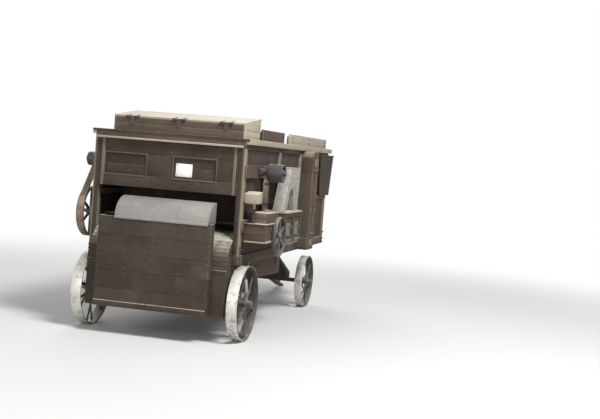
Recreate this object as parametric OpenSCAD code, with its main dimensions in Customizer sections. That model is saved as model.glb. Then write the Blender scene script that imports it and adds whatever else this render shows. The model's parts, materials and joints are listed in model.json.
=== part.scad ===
// Portable threshing machine on four iron wheels.
// Millimetres. +X is the way it is drawn along, +Y its left side, +Z up.
// The floor is z = 0, and the origin is under the middle of the whole machine.
// In the modules, x starts at the drum end's plane, and in_frame() moves it.

/* [Body] */
// Length of the body from the drum end to the straw end
body_l = 4950; // [4700:10:5200]
// Width over the side frames
body_w = 2030; // [1980:10:2100]
// Height of the deck's walking face
deck_z = 2580; // [2560:10:2640]
// Height of the underside of the bottom sills
sill_z = 985; // [980:5:1000]
// Height of a bottom sill
sill_h = 120; // [100:5:140]
// Height of a top rail
rail_h = 100; // [80:5:110]
// Depth of the frame timbers across the machine
post_d = 85; // [70:5:100]
// Width of a post along the machine
post_w = 90; // [70:5:110]
// Thickness of the wall boards
board_t = 24; // [18:2:30]
// Depth of the boards behind the frame's outer face
board_in = 26; // [16:2:36]
// Thickness of the deck boards
deck_t = 30; // [25:5:40]
// How far the deck stands out over the sides
deck_over = 45; // [30:5:60]
// Height of the low boards along the deck's edges
kick_h = 148; // [100:4:200]

/* [Drum end] */
// Height of the underside of the drum box
box_z = 1860; // [1820:10:1880]
// Top of the ledge on the drum box's end
ledge_z = 2490; // [2470:10:2500]
// Height of the drum's shaft
drum_z = 2170; // [2150:10:2190]
// Place of the drum's shaft from the drum end
drum_x = 620; // [600:10:640]
// Outer radius of the drum over its bars
drum_r = 270; // [250:5:280]
// Length of the drum
drum_l = 1600; // [1400:20:1640]
// Number of bars on the drum
drum_bars = 8; // [6:1:10]
// Radius of the drum's shaft
drum_shaft_r = 30; // [25:1:32]
// Radius of the wide drive pulley
drive_r = 120; // [100:5:130]
// Width of the drive pulley's face
drive_w = 200; // [150:10:210]
// How far the shafts reach beyond the side frames
side_out = 385; // [380:5:400]
// Length of the drum hood along the machine
hood_l = 700; // [660:10:720]
// Height of the hood's low edge over the deck
hood_h = 170; // [150:5:190]
// Rise of the hood's lid toward the straw end
hood_rise = 90; // [60:5:110]
// How far the end board stands out from the drum end
end_out = 380; // [350:10:400]
// Width of the end board
end_w = 1490; // [1400:10:1500]
// Top of the end board
end_top = 1490; // [1420:10:1500]
// Underside of the end board
end_low = 350; // [330:10:380]

/* [Right side] */
// Height of the underside of the side box and the grain box
box_low = 1280; // [1260:10:1300]
// Length of the grain box
grain_l = 895; // [800:5:900]
// How far the grain box stands out
grain_out = 340; // [320:5:345]
// Height of the grain box's pale top
grain_z = 1662; // [1640:2:1680]
// Radius of the side box's pulley
side_r = 260; // [220:5:265]
// Height of the forked spout
spout_h = 588; // [500:4:600]

/* [Straw walkers] */
// Number of straw walkers side by side
walkers = 4; // [3:1:5]
// Gap between two walkers
walker_gap = 30; // [20:2:40]
// Number of steps in a walker
steps = 6; // [4:1:8]
// Radius of the walkers' shafts
walk_r = 20; // [16:1:24]

/* [Wheels] */
// Radius of a fixed wheel
rear_r = 485; // [470:5:485]
// Width of a fixed wheel's tread
rear_w = 140; // [120:5:145]
// Place of the fixed axle from the drum end
rear_x = 250; // [240:10:260]
// Radius of a steered wheel
front_r = 410; // [380:5:420]
// Width of a steered wheel's tread
front_w = 120; // [110:5:130]
// Distance of the king pin from the straw end
front_back = 900; // [850:10:950]
// Gap from a sill's inner face out to a fixed wheel's inner face
rear_gap = 45; // [40:5:60]
// How far a steered wheel's inner face lies inside a sill's inner face
front_lap = 25; // [10:5:30]
// Thickness of an iron tyre
tyre_t = 14; // [10:1:18]
// Number of spokes in a wheel
spokes = 12; // [10:2:16]
// Width of a flat spoke, seen along the axle
spoke_w = 32; // [20:1:40]
// Thickness of a flat spoke, along the axle
spoke_t = 13; // [8:1:18]
// Radius of a wheel's spindle
spindle_r = 26; // [22:1:30]

/* [Drawbar] */
// Length from the drawbar's hinge to its eye
bar_l = 1750; // [1600:10:1900]
// Height of the drawbar's hinge
bar_z = 520; // [500:10:540]
// Distance from the king pin to the drawbar's hinge
bar_out = 620; // [600:10:650]
// Height of the drawbar's timber
bar_h = 80; // [70:5:90]
// Radius of the tow eye's hole
eye_r = 27; // [20:1:30]

/* [Hidden] */
$fn = 64;

// Radial running clearance of a shaft in its bearing
run_c = 0.05;
// Gap between faces of different bodies that rest on each other
face_c = 0.3;
// Clearance round a shaft's hole in a board
hole_c = 12;
// Clearance of what turns beside fixed boards
turn_c = 12;

half_w = body_w / 2;
end_x = -end_out;
beam_z = deck_z - deck_t;
sill_top = sill_z + sill_h;
rail_z = beam_z - rail_h;
mid_h = 60;
mid_z = box_z - 2 * mid_h;
inner_y = half_w - post_d;
board_y = half_w - board_in - board_t;
front_x = body_l - front_back;
rear_in = inner_y + rear_gap;
front_in = inner_y - front_lap;

// Lowest tilt at which the drawbar's eye lies on the floor
eye_out_r = eye_r + 33;
eye_h = 34;
tip_l = bar_l + eye_out_r;
tip_hyp = sqrt(pow(tip_l, 2) + pow(eye_h / 2, 2));
bar_tilt = asin(bar_z / tip_hyp) - atan(eye_h / 2 / tip_l);
bar_x = front_x + bar_out;
tip_x = bar_x + tip_l * cos(bar_tilt) + eye_h / 2 * sin(bar_tilt);
mid_x = (tip_x + end_x) / 2;

WOOD = [0.33, 0.24, 0.20];
WOOD_DARK = [0.22, 0.17, 0.15];
WOOD_PALE = [0.58, 0.52, 0.43];
SHEET = [0.55, 0.56, 0.56];
IRON = [0.25, 0.24, 0.24];
IRON_PALE = [0.50, 0.48, 0.46];
BELT = [0.40, 0.32, 0.24];
PLATE = [0.85, 0.85, 0.83];

// Moves the modules' x to the row's own origin
module in_frame() {
    translate([-mid_x, 0, 0]) children();
}

// A box given by its lowest and highest corners
module span(low, high) {
    translate(low) cube(high - low);
}

// A box given for the left side, put on side s: 1 is left, -1 is right
module side_span(s, low, high) {
    mirror([0, s > 0 ? 0 : 1, 0]) span(low, high);
}

// A round bar across the machine, from y0 to y1
module bar_y(x, z, r, y0, y1) {
    translate([x, y0, z]) rotate([-90, 0, 0]) cylinder(r = r, h = y1 - y0);
}

// A profile drawn in x and z, given depth from y0 to y1
module slab_y(y0, y1) {
    translate([0, y1, 0]) rotate([90, 0, 0]) linear_extrude(y1 - y0) children();
}

// A profile drawn in radius and y, turned round an axis across the machine
module turned_y(x, z) {
    translate([x, 0, z]) rotate([-90, 0, 0]) rotate_extrude() children();
}

// Points of an arc, by centre, radii and angles
function arc(c, rx, rz, a0, a1, n = 12) =
    [for (i = [0 : n]) let (a = a0 + (a1 - a0) * i / n) [c[0] + rx * cos(a), c[1] + rz * sin(a)]];

// Side frames: each post's x
bay_1 = 1700;
bay_2 = 1250;
bay_3 = 1160;
POST_X = [0, bay_1, bay_1 + bay_2, bay_1 + bay_2 + bay_3, body_l - post_w];

// Shafts through both side frames: [x, z, radius]
cross_x = 350;
cross_z = 1480;
cross_r = 22;
SHAFTS = [
    [drum_x, drum_z, drum_shaft_r],
    [cross_x, cross_z, cross_r]
];

// Outer rails that carry their bearings
rail_t = 25;
rail_half = 80;
rail_y = half_w + rail_t;
near_x = bay_1 + post_w;

module shaft_holes(y0, y1) {
    for (h = SHAFTS) bar_y(h[0], h[1], h[2] + hole_c, y0, y1);
}

module side_frame() {
    difference() {
        union() {
            span([0, inner_y, sill_z], [body_l, half_w, sill_top]);
            span([0, inner_y, rail_z], [body_l, half_w, beam_z]);
            span([0, inner_y, mid_z], [body_l, half_w, mid_z + mid_h]);
            for (x = POST_X) span([x, inner_y, sill_z], [x + post_w, half_w, beam_z]);
            for (h = SHAFTS)
                span([0, half_w, h[1] - rail_half], [near_x, rail_y, h[1] + rail_half]);
        }
        shaft_holes(inner_y - 1, rail_y + 1);
    }
}

module side_frame_left() {
    color(WOOD) in_frame() side_frame();
}

module side_frame_right() {
    color(WOOD) in_frame() mirror([0, 1, 0]) side_frame();
}

// Boards of the bays between the posts, below and above the middle rail
module side_boards() {
    difference() {
        for (i = [0 : len(POST_X) - 2], z = [[sill_top, mid_z], [mid_z + mid_h, rail_z]])
            span([POST_X[i] + post_w, board_y, z[0]],
                 [POST_X[i + 1], board_y + board_t, z[1]]);
        shaft_holes(board_y - 1, board_y + board_t + 1);
    }
}

module side_boards_left() {
    color(WOOD_DARK) in_frame() side_boards();
}

module side_boards_right() {
    color(WOOD_DARK) in_frame() mirror([0, 1, 0]) side_boards();
}

// Deck mouths: over the drum, and for the sheaves
mouth_y = 700;
mouth_in = 60;
drum_mouth = [130, hood_l - mouth_in];
feed_l = 400;
feed_mouth = [hood_l + mouth_in, hood_l + mouth_in + feed_l];

// Cross beams: [x0, x1, z0, z1]
beam_w = 80;
beam_gap = 20;
casing_r = 450;
casing_x = rear_x + casing_r;
BEAMS = [
    [0, post_w, rail_z, beam_z],
    [drum_mouth[1] + beam_gap, drum_mouth[1] + beam_gap + beam_w, rail_z, beam_z],
    [feed_mouth[1] + beam_gap, feed_mouth[1] + beam_gap + beam_w, rail_z, beam_z],
    [POST_X[2], POST_X[2] + post_w, rail_z, beam_z],
    [body_l - post_w, body_l, rail_z, beam_z],
    [casing_x + 200, casing_x + 200 + post_w, sill_z, sill_top],
    [front_x - 650, front_x - 650 + post_w, sill_z, sill_top],
    [front_x + 560, front_x + 560 + post_w, sill_z, sill_top]
];

module cross_beams() {
    color(WOOD) in_frame()
        for (b = BEAMS) span([b[0], -inner_y, b[2]], [b[1], inner_y, b[3]]);
}

// Deck with its mouths and its edge boards
fascia_h = 70;

module deck() {
    edge_y = half_w + deck_over;
    color(WOOD_PALE) in_frame() {
        difference() {
            span([0, -edge_y, beam_z], [body_l + deck_over, edge_y, deck_z]);
            for (m = [drum_mouth, feed_mouth])
                span([m[0], -mouth_y, beam_z - 1], [m[1], mouth_y, deck_z + 1]);
        }
        for (s = [-1, 1])
            side_span(s, [0, half_w, deck_z - fascia_h], [body_l + deck_over, edge_y, beam_z]);
    }
}

// Low boards along the deck's edges, with brackets behind them: [x0, x1]
kick_t = 30;
kick_x = hood_l + 30;
kick_l = 1150;
kick_gap = 340;
bracket_w = 60;
bracket_d = 45;
bracket_in = 80;
KICKS = [
    [kick_x, kick_x + kick_l],
    [kick_x + kick_l + kick_gap, body_l - 250]
];

module kick_boards() {
    y = half_w - kick_t;
    color(WOOD) in_frame() for (k = KICKS, s = [-1, 1]) {
        side_span(s, [k[0], y, deck_z], [k[1], half_w, deck_z + kick_h]);
        for (x = [k[0] + bracket_in, (k[0] + k[1] - bracket_w) / 2, k[1] - bracket_in - bracket_w])
            side_span(s, [x, y - bracket_d, deck_z], [x + bracket_w, y, deck_z + kick_h * 0.8]);
    }
}

// Drum end panel between the corner posts, with its ledge
panel_out = 15;
panel_in = 30;
sunk = 20;
ledge_out = 50;
ledge_t = 25;
ledge_in = 30;
// Raised edge round a sunk panel, and the light strip beside each corner post
bead = 14;
bead_t = 6;
strip_w = 35;
strip_in = 25;
// Sunk panels: [y0, y1, z0, z1]
PANELS = [
    [half_w - 720, half_w - 160, box_z + 150, box_z + 420],
    [half_w - 1660, half_w - 1090, box_z + 150, box_z + 420]
];

module drum_end_panel() {
    top = ledge_z - ledge_t;
    color(WOOD) in_frame() difference() {
        union() {
            span([-panel_out, -inner_y, box_z], [0, inner_y, top]);
            span([0, -inner_y, box_z], [panel_in, inner_y, rail_z]);
            span([-panel_out - ledge_out, ledge_in - half_w, top],
                 [0, half_w - ledge_in, ledge_z]);
            for (p = PANELS)
                span([-panel_out - bead_t, p[0] - bead, p[2] - bead],
                     [0, p[1] + bead, p[3] + bead]);
            for (s = [-1, 1])
                side_span(s, [-panel_out - bead_t, inner_y - strip_in - strip_w, box_z],
                          [-panel_out, inner_y - strip_in, top]);
        }
        for (p = PANELS)
            span([-panel_out - bead_t - 1, p[0], p[2]], [sunk - panel_out, p[1], p[3]]);
    }
}

// Blank plate on the second sunk panel
plate_t = 3;
plate_w = 220;
plate_h = 165;

module blank_plate() {
    x = sunk - panel_out;
    y = PANELS[1][1] - 30;
    z = PANELS[1][3] - 75;
    color(PLATE) in_frame() span([x - plate_t, y - plate_w, z - plate_h], [x, y, z]);
}

// Drum hood: four walls under a sloping lid
hood_y1 = half_w - 240;
hood_y0 = 30 - half_w;
hood_z0 = deck_z + hood_h;
hood_z1 = hood_z0 + hood_rise;
hood_t = 22;
hood_tilt = atan(hood_rise / hood_l);

// Hinges along the lid's low edge: each a fixed knuckle between two of the lid's
knuckle_r = 11;
knuckle_l = 60;
hinge_x = -knuckle_r - 4;
hinge_z = hood_z0 + 8;
hinge_pin_r = 5;
leaf_h = 90;
leaf_t = 8;
HINGE_Y = [hood_y0 + 250, (hood_y0 + hood_y1) / 2, hood_y1 - 250];

// Fixed knuckle at y, with its pin and the leaf on the hood's end wall
module hood_hinge(y) {
    y0 = y - knuckle_l / 2;
    y1 = y + knuckle_l / 2;
    bar_y(hinge_x, hinge_z, knuckle_r, y0, y1);
    bar_y(hinge_x, hinge_z, hinge_pin_r, y0 - knuckle_l, y1 + knuckle_l);
    span([-leaf_t, y0, hinge_z - leaf_h], [1, y1, hood_z0 - 2]);
    span([hinge_x - 4, y0, hood_z0 - 30], [4 - leaf_t, y1, hinge_z]);
}

module drum_hood() {
    color(WOOD_DARK) in_frame() {
        difference() {
            slab_y(hood_y0, hood_y1)
                polygon([[0, deck_z], [hood_l, deck_z], [hood_l, hood_z1], [0, hood_z0]]);
            span([hood_t, hood_y0 + hood_t, deck_z - 1],
                 [hood_l - hood_t, hood_y1 - hood_t, hood_z1 + 1]);
        }
        for (y = HINGE_Y) hood_hinge(y);
    }
}

// Lid with two knuckles to each hinge, bored for the pin
lid_t = 22;
lid_over = 15;

module lid_knuckle(y0, y1) {
    bar_y(hinge_x, hinge_z, knuckle_r, y0, y1);
    span([hinge_x, y0, hinge_z + 2], [6, y1, hinge_z + knuckle_r]);
}

module hood_lid() {
    near = knuckle_l / 2 + face_c;
    far = 1.5 * knuckle_l;
    color(WOOD_PALE) in_frame() difference() {
        union() {
            translate([0, 0, hood_z0 + face_c]) rotate([0, -hood_tilt, 0])
                span([0, hood_y0, 0], [hood_l / cos(hood_tilt) + lid_over, hood_y1, lid_t]);
            for (y = HINGE_Y) {
                lid_knuckle(y - far, y - near);
                lid_knuckle(y + near, y + far);
            }
        }
        for (y = HINGE_Y)
            bar_y(hinge_x, hinge_z, hinge_pin_r + run_c, y - far - 1, y + far + 1);
    }
}

// Sloping board and cheeks of the sheaf mouth, cut clear of the drum's sweep
chute_t = 24;
chute_z = 2300;
chute_x = drum_x + drum_r + turn_c;

module feed_chute() {
    x0 = feed_mouth[0];
    x1 = feed_mouth[1];
    color(WOOD) in_frame() {
        slab_y(-mouth_y, mouth_y) polygon([
            [x1, beam_z], [x1 - chute_t, beam_z], [chute_x, chute_z],
            [chute_x, chute_z - chute_t], [x1, beam_z - chute_t]
        ]);
        for (y = [-mouth_y - chute_t, mouth_y]) slab_y(y, y + chute_t) difference() {
            polygon([
                [x0, beam_z], [x1, beam_z], [x1, beam_z - 120],
                [chute_x, chute_z - 40], [x0, chute_z]
            ]);
            translate([drum_x, drum_z]) circle(r = drum_r + turn_c);
        }
    }
}

module drum_box_floor() {
    color(WOOD) in_frame()
        span([panel_in, -inner_y, box_z], [feed_mouth[1] + 100, inner_y, box_z + 28]);
}

// Wall behind the fan casing, from the floor up to the drum box
module inner_wall() {
    color(WOOD_DARK) in_frame()
        span([feed_mouth[0], -inner_y, sill_top + board_t],
             [feed_mouth[0] + board_t, inner_y, box_z]);
}

// Fan casing, low between the fixed wheels, open over the axle, with an air inlet on each side
fan_z = 920;
casing_low = 330;
axle_gap = 80;
inlet_r = 170;
inlet_d = 40;
band_t = 8;
band_h = 36;

module fan_casing() {
    axle_top = rear_r + axle_gap;
    color(WOOD_DARK) in_frame() {
        difference() {
            slab_y(-inner_y, inner_y) polygon(concat(
                [[rear_x - axle_gap, casing_low], [rear_x - casing_r, casing_low]],
                arc([rear_x, fan_z], casing_r, casing_r, 180, 90),
                [[casing_x, fan_z + casing_r], [casing_x, axle_top], [rear_x - axle_gap, axle_top]]
            ));
            bar_y(rear_x, fan_z, inlet_r, inner_y - inlet_d, inner_y + 1);
            bar_y(rear_x, fan_z, inlet_r, -inner_y - 1, inlet_d - inner_y);
        }
        for (s = [-1, 1])
            side_span(s, [rear_x - casing_r - band_t, end_w / 2 + 2, fan_z - band_h],
                      [rear_x - casing_r, inner_y, fan_z]);
    }
}

// End board in front of the fan casing, with side returns and a foot batten
end_t = 30;
batten_h = 70;
board_x = end_x + end_t;

module end_board() {
    back_x = board_x + end_t;
    color(WOOD_DARK) in_frame() {
        span([board_x, -end_w / 2, end_low], [back_x, end_w / 2, end_top]);
        span([end_x, -end_w / 2, end_low], [board_x, end_w / 2, end_low + batten_h]);
        for (s = [-1, 1])
            side_span(s, [back_x, end_w / 2 - end_t, end_low],
                      [rear_x - casing_r, end_w / 2, end_top]);
    }
}

// Rounded sheet over the end board, closed at its ends, with a lip over the board's top
cover_l = 310;
cover_h = 260;
// How far the sheet stands in from the end board's right and left edge
cover_in_right = 45;
cover_in_left = 210;
sheet_t = 6;
lip_t = 8;
lip_h = 24;

module cover_profile(inset) {
    c = [board_x + cover_l, end_top];
    polygon(concat(arc(c, cover_l - inset, cover_h - inset, 180, 90, 18), [c]));
}

module curved_cover() {
    y0 = cover_in_right - end_w / 2;
    y1 = end_w / 2 - cover_in_left;
    color(SHEET) in_frame() {
        difference() {
            slab_y(y0, y1) cover_profile(0);
            slab_y(y0 + sheet_t, y1 - sheet_t) translate([0, -1]) cover_profile(sheet_t);
        }
        span([board_x - lip_t, y0, end_top - lip_h], [board_x, y1, end_top + lip_t]);
        span([board_x - lip_t, y0, end_top], [board_x + sheet_t - 1, y1, end_top + lip_t]);
    }
}

// Flanged bearings on the outer rails, each with a boss and a grease cup
block_l = 170;
block_h = 90;
flange_t = 16;
boss_wall = 22;
boss_t = 60;
cup_r = 12;
cup_h = 45;

module bearing(x, z, r) {
    difference() {
        union() {
            span([x - block_l / 2, rail_y, z - block_h / 2],
                 [x + block_l / 2, rail_y + flange_t, z + block_h / 2]);
            bar_y(x, z, r + boss_wall, rail_y, rail_y + boss_t);
            translate([x, rail_y + boss_t / 2, z]) cylinder(r = cup_r, h = r + cup_h);
        }
        bar_y(x, z, r + run_c, rail_y - 1, rail_y + boss_t + 1);
    }
}

module bearings() {
    color(IRON) in_frame() for (h = SHAFTS, s = [0, 1])
        mirror([0, s, 0]) bearing(h[0], h[1], h[2]);
}

// Side box on the right: a low box, a smaller one on it and a little one on a strut
side_x0 = post_w + 5;
side_x1 = 900;
side_top = 1520;
upper_top = 1650;
side_box_out = 300;
side_y = half_w + side_box_out;
box_lip = 12;
foot_t = 8;
side_x = 620;
side_z = 1350;
side_shaft_r = 22;
side_bore = 120;
// Little box by the corner post
tool_x = 60;
tool_l = 200;
tool_z = 1775;
tool_h = 120;
tool_w = 185;
strut = 28;

module tool_box() {
    x1 = tool_x + tool_l;
    slab_y(half_w, half_w + tool_w)
        polygon([[tool_x, tool_z], [x1, tool_z], [x1, tool_z + tool_h + 30], [tool_x, tool_z + tool_h]]);
    span([x1 - strut - 12, half_w + 80, side_top], [x1 - 12, half_w + 80 + strut, tool_z]);
}

module side_box() {
    color(WOOD_PALE) in_frame() mirror([0, 1, 0]) {
        difference() {
            union() {
                span([side_x0, rail_y, box_low], [side_x1, side_y, side_top - box_lip]);
                span([side_x0 - box_lip, rail_y, side_top - box_lip],
                     [side_x1, side_y + box_lip, side_top]);
                slab_y(rail_y, side_y - 40) polygon([
                    [250, side_top], [side_x1, side_top], [side_x1, upper_top], [290, upper_top]
                ]);
                span([side_x0, half_w, box_low], [side_x1, rail_y, cross_z - rail_half]);
                span([side_x0 - foot_t, side_y, box_low], [side_x1, side_y + foot_t, box_low + 30]);
            }
            bar_y(side_x, side_z, side_shaft_r + run_c, side_y - side_bore, side_y + foot_t + 1);
            span([cross_x - block_l / 2 - 1, rail_y - 1, cross_z - block_h / 2 - 1],
                 [cross_x + block_l / 2 + 1, rail_y + boss_t + 2, cross_z + cross_r + cup_h + 3]);
        }
        tool_box();
    }
}

// Grain box with a pale top slab and a sunk panel over each sack mouth
grain_x0 = side_x1 + 5;
grain_x1 = grain_x0 + grain_l;
grain_y = half_w + grain_out;
slab_t = 22;
slab_out = 15;
stile = 60;
panel_d = 14;
sacks = 2;
sack_l = grain_l / sacks;

module grain_box() {
    top = grain_z - slab_t;
    color(WOOD) in_frame() mirror([0, 1, 0]) {
        difference() {
            span([grain_x0, rail_y, box_low], [grain_x1, grain_y, top]);
            for (i = [0 : sacks - 1])
                span([grain_x0 + i * sack_l + stile / 2, grain_y - panel_d, box_low + stile],
                     [grain_x0 + (i + 1) * sack_l - stile / 2, grain_y + 1, top - 50]);
        }
        span([grain_x0, half_w, cross_z + rail_half], [grain_x1, rail_y, top]);
        span([grain_x0 - 4, half_w, top], [grain_x1 + slab_out, grain_y + slab_out, grain_z]);
    }
}

// Sack mouths under the grain box: a frame, a lip with hooks, and a gate with its handle
mouth_w = 300;
mouth_d = 200;
mouth_h = 60;
mouth_t = 12;
lip_out = 22;
gate_w = 180;
gate_h = 170;
gate_t = 8;
hook_r = 5;
hook_l = 16;

module sack_mouth(x) {
    w = mouth_w / 2;
    low = box_low - mouth_h;
    difference() {
        span([x - w, grain_y - mouth_d, low], [x + w, grain_y, box_low]);
        span([x - w + mouth_t, grain_y - mouth_d + mouth_t, low - 1],
             [x + w - mouth_t, grain_y - mouth_t, box_low + 1]);
    }
    span([x - w, grain_y, box_low - mouth_t], [x + w, grain_y + lip_out, box_low + mouth_t]);
    for (s = [-1, 1]) translate([x + s * w * 0.8, grain_y + lip_out, box_low])
        rotate([-90, 0, 0]) cylinder(r = hook_r, h = hook_l);
}

module sack_gate(x) {
    y = grain_y - panel_d;
    z = box_low + stile;
    span([x - gate_w / 2, y, z], [x + gate_w / 2, y + gate_t, z + gate_h]);
    span([x - mouth_t, y + gate_t, z + gate_h - 50], [x + mouth_t, y + gate_t + 30, z + gate_h - 30]);
}

module sack_slides() {
    color(SHEET) in_frame() mirror([0, 1, 0]) for (i = [0 : sacks - 1]) {
        sack_mouth(grain_x0 + (i + 0.5) * sack_l);
        sack_gate(grain_x0 + (i + 0.5) * sack_l);
    }
}

// Forked spout on the grain box, with an arch between its legs and a neck to the body
spout_y0 = half_w + 150;
spout_y1 = half_w + 300;
spout_z = grain_z + spout_h;
arch_r = 125;
arch_h = 180;

module grain_spout() {
    x = grain_x0;
    arch_x = x + 425;
    color(SHEET) in_frame() mirror([0, 1, 0]) {
        slab_y(spout_y0, spout_y1) difference() {
            polygon([
                [x + 25, grain_z], [x + 800, grain_z], [x + 850, spout_z - 120],
                [x + 830, spout_z], [x + 330, spout_z], [x + 250, spout_z - 150]
            ]);
            polygon(concat(
                [[arch_x + arch_r + 40, grain_z - 1], [arch_x - arch_r - 100, grain_z - 1]],
                arc([arch_x, grain_z + arch_h], arch_r, arch_r, 180, 0)
            ));
        }
        span([x + 350, rail_y, spout_z - 180], [x + 810, spout_y0, spout_z - 20]);
    }
}

// Elevator casing with two legs, a head and a boot
elevator_x = POST_X[2] + 100;
elevator_w = 400;
elevator_out = 180;
elevator_z = deck_z - fascia_h - 5;
leg_w = 150;
boot_z = sill_z + 15;
boot_h = 175;
boot_out = 20;

module grain_elevator() {
    x0 = elevator_x;
    x1 = elevator_x + elevator_w;
    color(WOOD) in_frame() mirror([0, 1, 0]) slab_y(half_w, half_w + elevator_out) difference() {
        union() {
            polygon([
                [x0, boot_z], [x1, boot_z], [x1, elevator_z - 90],
                [x1 - 60, elevator_z], [x0 + 60, elevator_z], [x0, elevator_z - 90]
            ]);
            polygon([
                [x0 + 30, boot_z], [x1 - 30, boot_z], [x1 + boot_out, boot_z + 50],
                [x1 + boot_out, boot_z + boot_h], [x0 - boot_out, boot_z + boot_h],
                [x0 - boot_out, boot_z + 50]
            ]);
        }
        polygon([
            [x0 + leg_w, boot_z + boot_h + 130], [x1 - leg_w, boot_z + boot_h + 130],
            [x1 - leg_w, elevator_z - 330], [x0 + leg_w, elevator_z - 330]
        ]);
    }
}

// Cheeks beside the walkers' end, one on each side of the straw outlet
cover_out = 30;
cheek_low = mid_z + mid_h;
cheek_top = rail_z + 10;
cheek_out = 300;
cheek_cap = 16;

module walker_cover() {
    y0 = half_w;
    y1 = half_w + cover_out;
    color(WOOD_DARK) in_frame() for (s = [0, 1]) mirror([0, s, 0]) {
        slab_y(y0, y1) polygon([
            [body_l - 560, cheek_low], [body_l + cheek_out - 180, cheek_low],
            [body_l + cheek_out, cheek_top], [body_l - 660, cheek_top]
        ]);
        span([body_l - 660, y0, cheek_top], [body_l + cheek_out + 12, y1 + 10, cheek_top + cheek_cap]);
    }
}

// Straw walkers: long stepped troughs on two shafts
walker_in = 25;
walker_w = (2 * (inner_y - walker_in) - (walkers - 1) * walker_gap) / walkers;
walker_x = 1350;
walker_z = 1420;
walker_end = body_l - 240;
step_l = (walker_end - walker_x) / steps;
step_h = 90;
step_rise = 60;
tread_z = 90;
tread_t = 20;
tooth = 10;
WALK_X = [near_x + 60, body_l - 450];

// Height of a walker's underside at x, and of a shaft below it
function under(x) = walker_z + (x - walker_x) / step_l * step_rise;
function walk_z(x) = under(x) - 50;

// A walker's side board, with its teeth and the lugs of its two shafts
module walker_side() {
    top = [for (i = [0 : steps - 1], p = [[0, 0], [step_l, step_h]])
        [walker_x + i * step_l + p[0],
         walker_z + tread_z + tread_t + tooth + i * step_rise + p[1]]];
    difference() {
        union() {
            polygon(concat([[walker_x, walker_z]], top, [[walker_end, under(walker_end)]]));
            for (x = WALK_X)
                polygon([[x - 45, walk_z(x) - 40], [x + 45, walk_z(x) - 40],
                         [x + 45, under(x) + 10], [x - 45, under(x) + 10]]);
        }
        for (x = WALK_X) translate([x, walk_z(x)]) circle(r = walk_r + run_c);
    }
}

// The rising treads between the side boards, and the riser that ends each one
module walker_treads() {
    for (i = [0 : steps - 1]) {
        x0 = walker_x + i * step_l;
        x1 = x0 + step_l;
        z = walker_z + tread_z + i * step_rise;
        polygon([[x0, z], [x1, z + step_h], [x1, z + step_h + tread_t], [x0, z + tread_t]]);
        polygon([[x1 - tread_t, under(x1 - tread_t)], [x1, under(x1)],
                 [x1, z + step_h + tread_t], [x1 - tread_t, z + step_h]]);
    }
}

module straw_walkers() {
    pitch = walker_w + walker_gap;
    color(WOOD) in_frame() for (i = [0 : walkers - 1]) {
        y0 = (i - (walkers - 1) / 2) * pitch - walker_w / 2;
        y1 = y0 + walker_w;
        slab_y(y0, y0 + tread_t) walker_side();
        slab_y(y1 - tread_t, y1) walker_side();
        slab_y(y0 + tread_t / 2, y1 - tread_t / 2) walker_treads();
    }
}

module walker_shafts() {
    color(IRON) in_frame() for (x = WALK_X) bar_y(x, walk_z(x), walk_r, -board_y, board_y);
}

// Curved hood over the straw outlet, and the tail board below it with its battens
hood_arc = 240;
hood_board = 26;
tail_x = body_l - 60;
tail_top = 1500;
tail_y = 500;

module straw_hood() {
    c = [body_l, cheek_top - hood_arc];
    back_x = tail_x + board_t;
    color(WOOD) in_frame() {
        slab_y(-half_w, half_w) polygon(concat(
            arc(c, hood_arc, hood_arc, 90, 12, 14),
            arc(c, hood_arc - hood_board, hood_arc - hood_board, 12, 90, 14)
        ));
        span([tail_x, -inner_y, sill_top], [back_x, inner_y, tail_top]);
        for (y = [-tail_y - 80, -40, tail_y])
            span([back_x, y, sill_top], [back_x + board_t, y + 80, tail_top - 20]);
    }
}

module floor_boards() {
    color(WOOD_DARK) in_frame()
        span([casing_x, -inner_y, sill_top], [tail_x, inner_y, sill_top + board_t]);
}

// Sieve shoe, hung under the body, with two sloping decks open at the straw end
shoe_y = inner_y - 130;
shoe_x0 = casing_x + 300;
shoe_x1 = front_x - 1050;
shoe_z0 = 620;
shoe_z1 = 940;
shoe_fall = 60;
sieve_gap = 115;

// Outline of a space in the shoe whose floor slopes from x0 down to x1
module shoe_space(x0, x1, low, top0, top1) {
    polygon([[x0, low + shoe_fall], [x1, low], [x1, top1], [x0, top0]]);
}

module sieve_shoe() {
    x0 = shoe_x0 + board_t;
    x1 = shoe_x1 + 1;
    low_1 = shoe_z0 + board_t;
    low_2 = low_1 + sieve_gap + board_t;
    color(WOOD) in_frame() difference() {
        slab_y(-shoe_y, shoe_y) shoe_space(shoe_x0, shoe_x1, shoe_z0, shoe_z1, shoe_z1);
        slab_y(board_t - shoe_y, shoe_y - board_t) {
            shoe_space(x0, x1, low_1, low_1 + sieve_gap + shoe_fall, low_1 + sieve_gap);
            shoe_space(x0, x1, low_2, shoe_z1 + 1, shoe_z1 + 1);
        }
    }
}

// Springy hangers of the shoe, each with its bracket on the sill
hanger_w = 80;
hanger_t = 20;

module shoe_hangers() {
    y = shoe_y + hanger_t;
    color(WOOD_PALE) in_frame() for (x = [shoe_x0 + 150, shoe_x1 - 250], s = [-1, 1]) {
        side_span(s, [x, shoe_y, shoe_z0 + 100], [x + hanger_w, y, sill_top]);
        side_span(s, [x - 10, y, sill_z + 20], [x + hanger_w + 10, inner_y, sill_z + 80]);
    }
}

// Hubs: length, how far they stand in from the tread, and the cap's thickness
hub_l = 220;
hub_in = 25;
cap_t = 12;
bore_l = hub_l - cap_t;

// Fixed axle with its spindles
axle_s = 70;

module rear_axle() {
    y_end = rear_in - hub_in + bore_l - 5;
    color(IRON) in_frame() {
        span([rear_x - axle_s / 2, -inner_y, rear_r - axle_s / 2],
             [rear_x + axle_s / 2, inner_y, rear_r + axle_s / 2]);
        bar_y(rear_x, rear_r, spindle_r, -y_end, y_end);
    }
}

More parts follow.
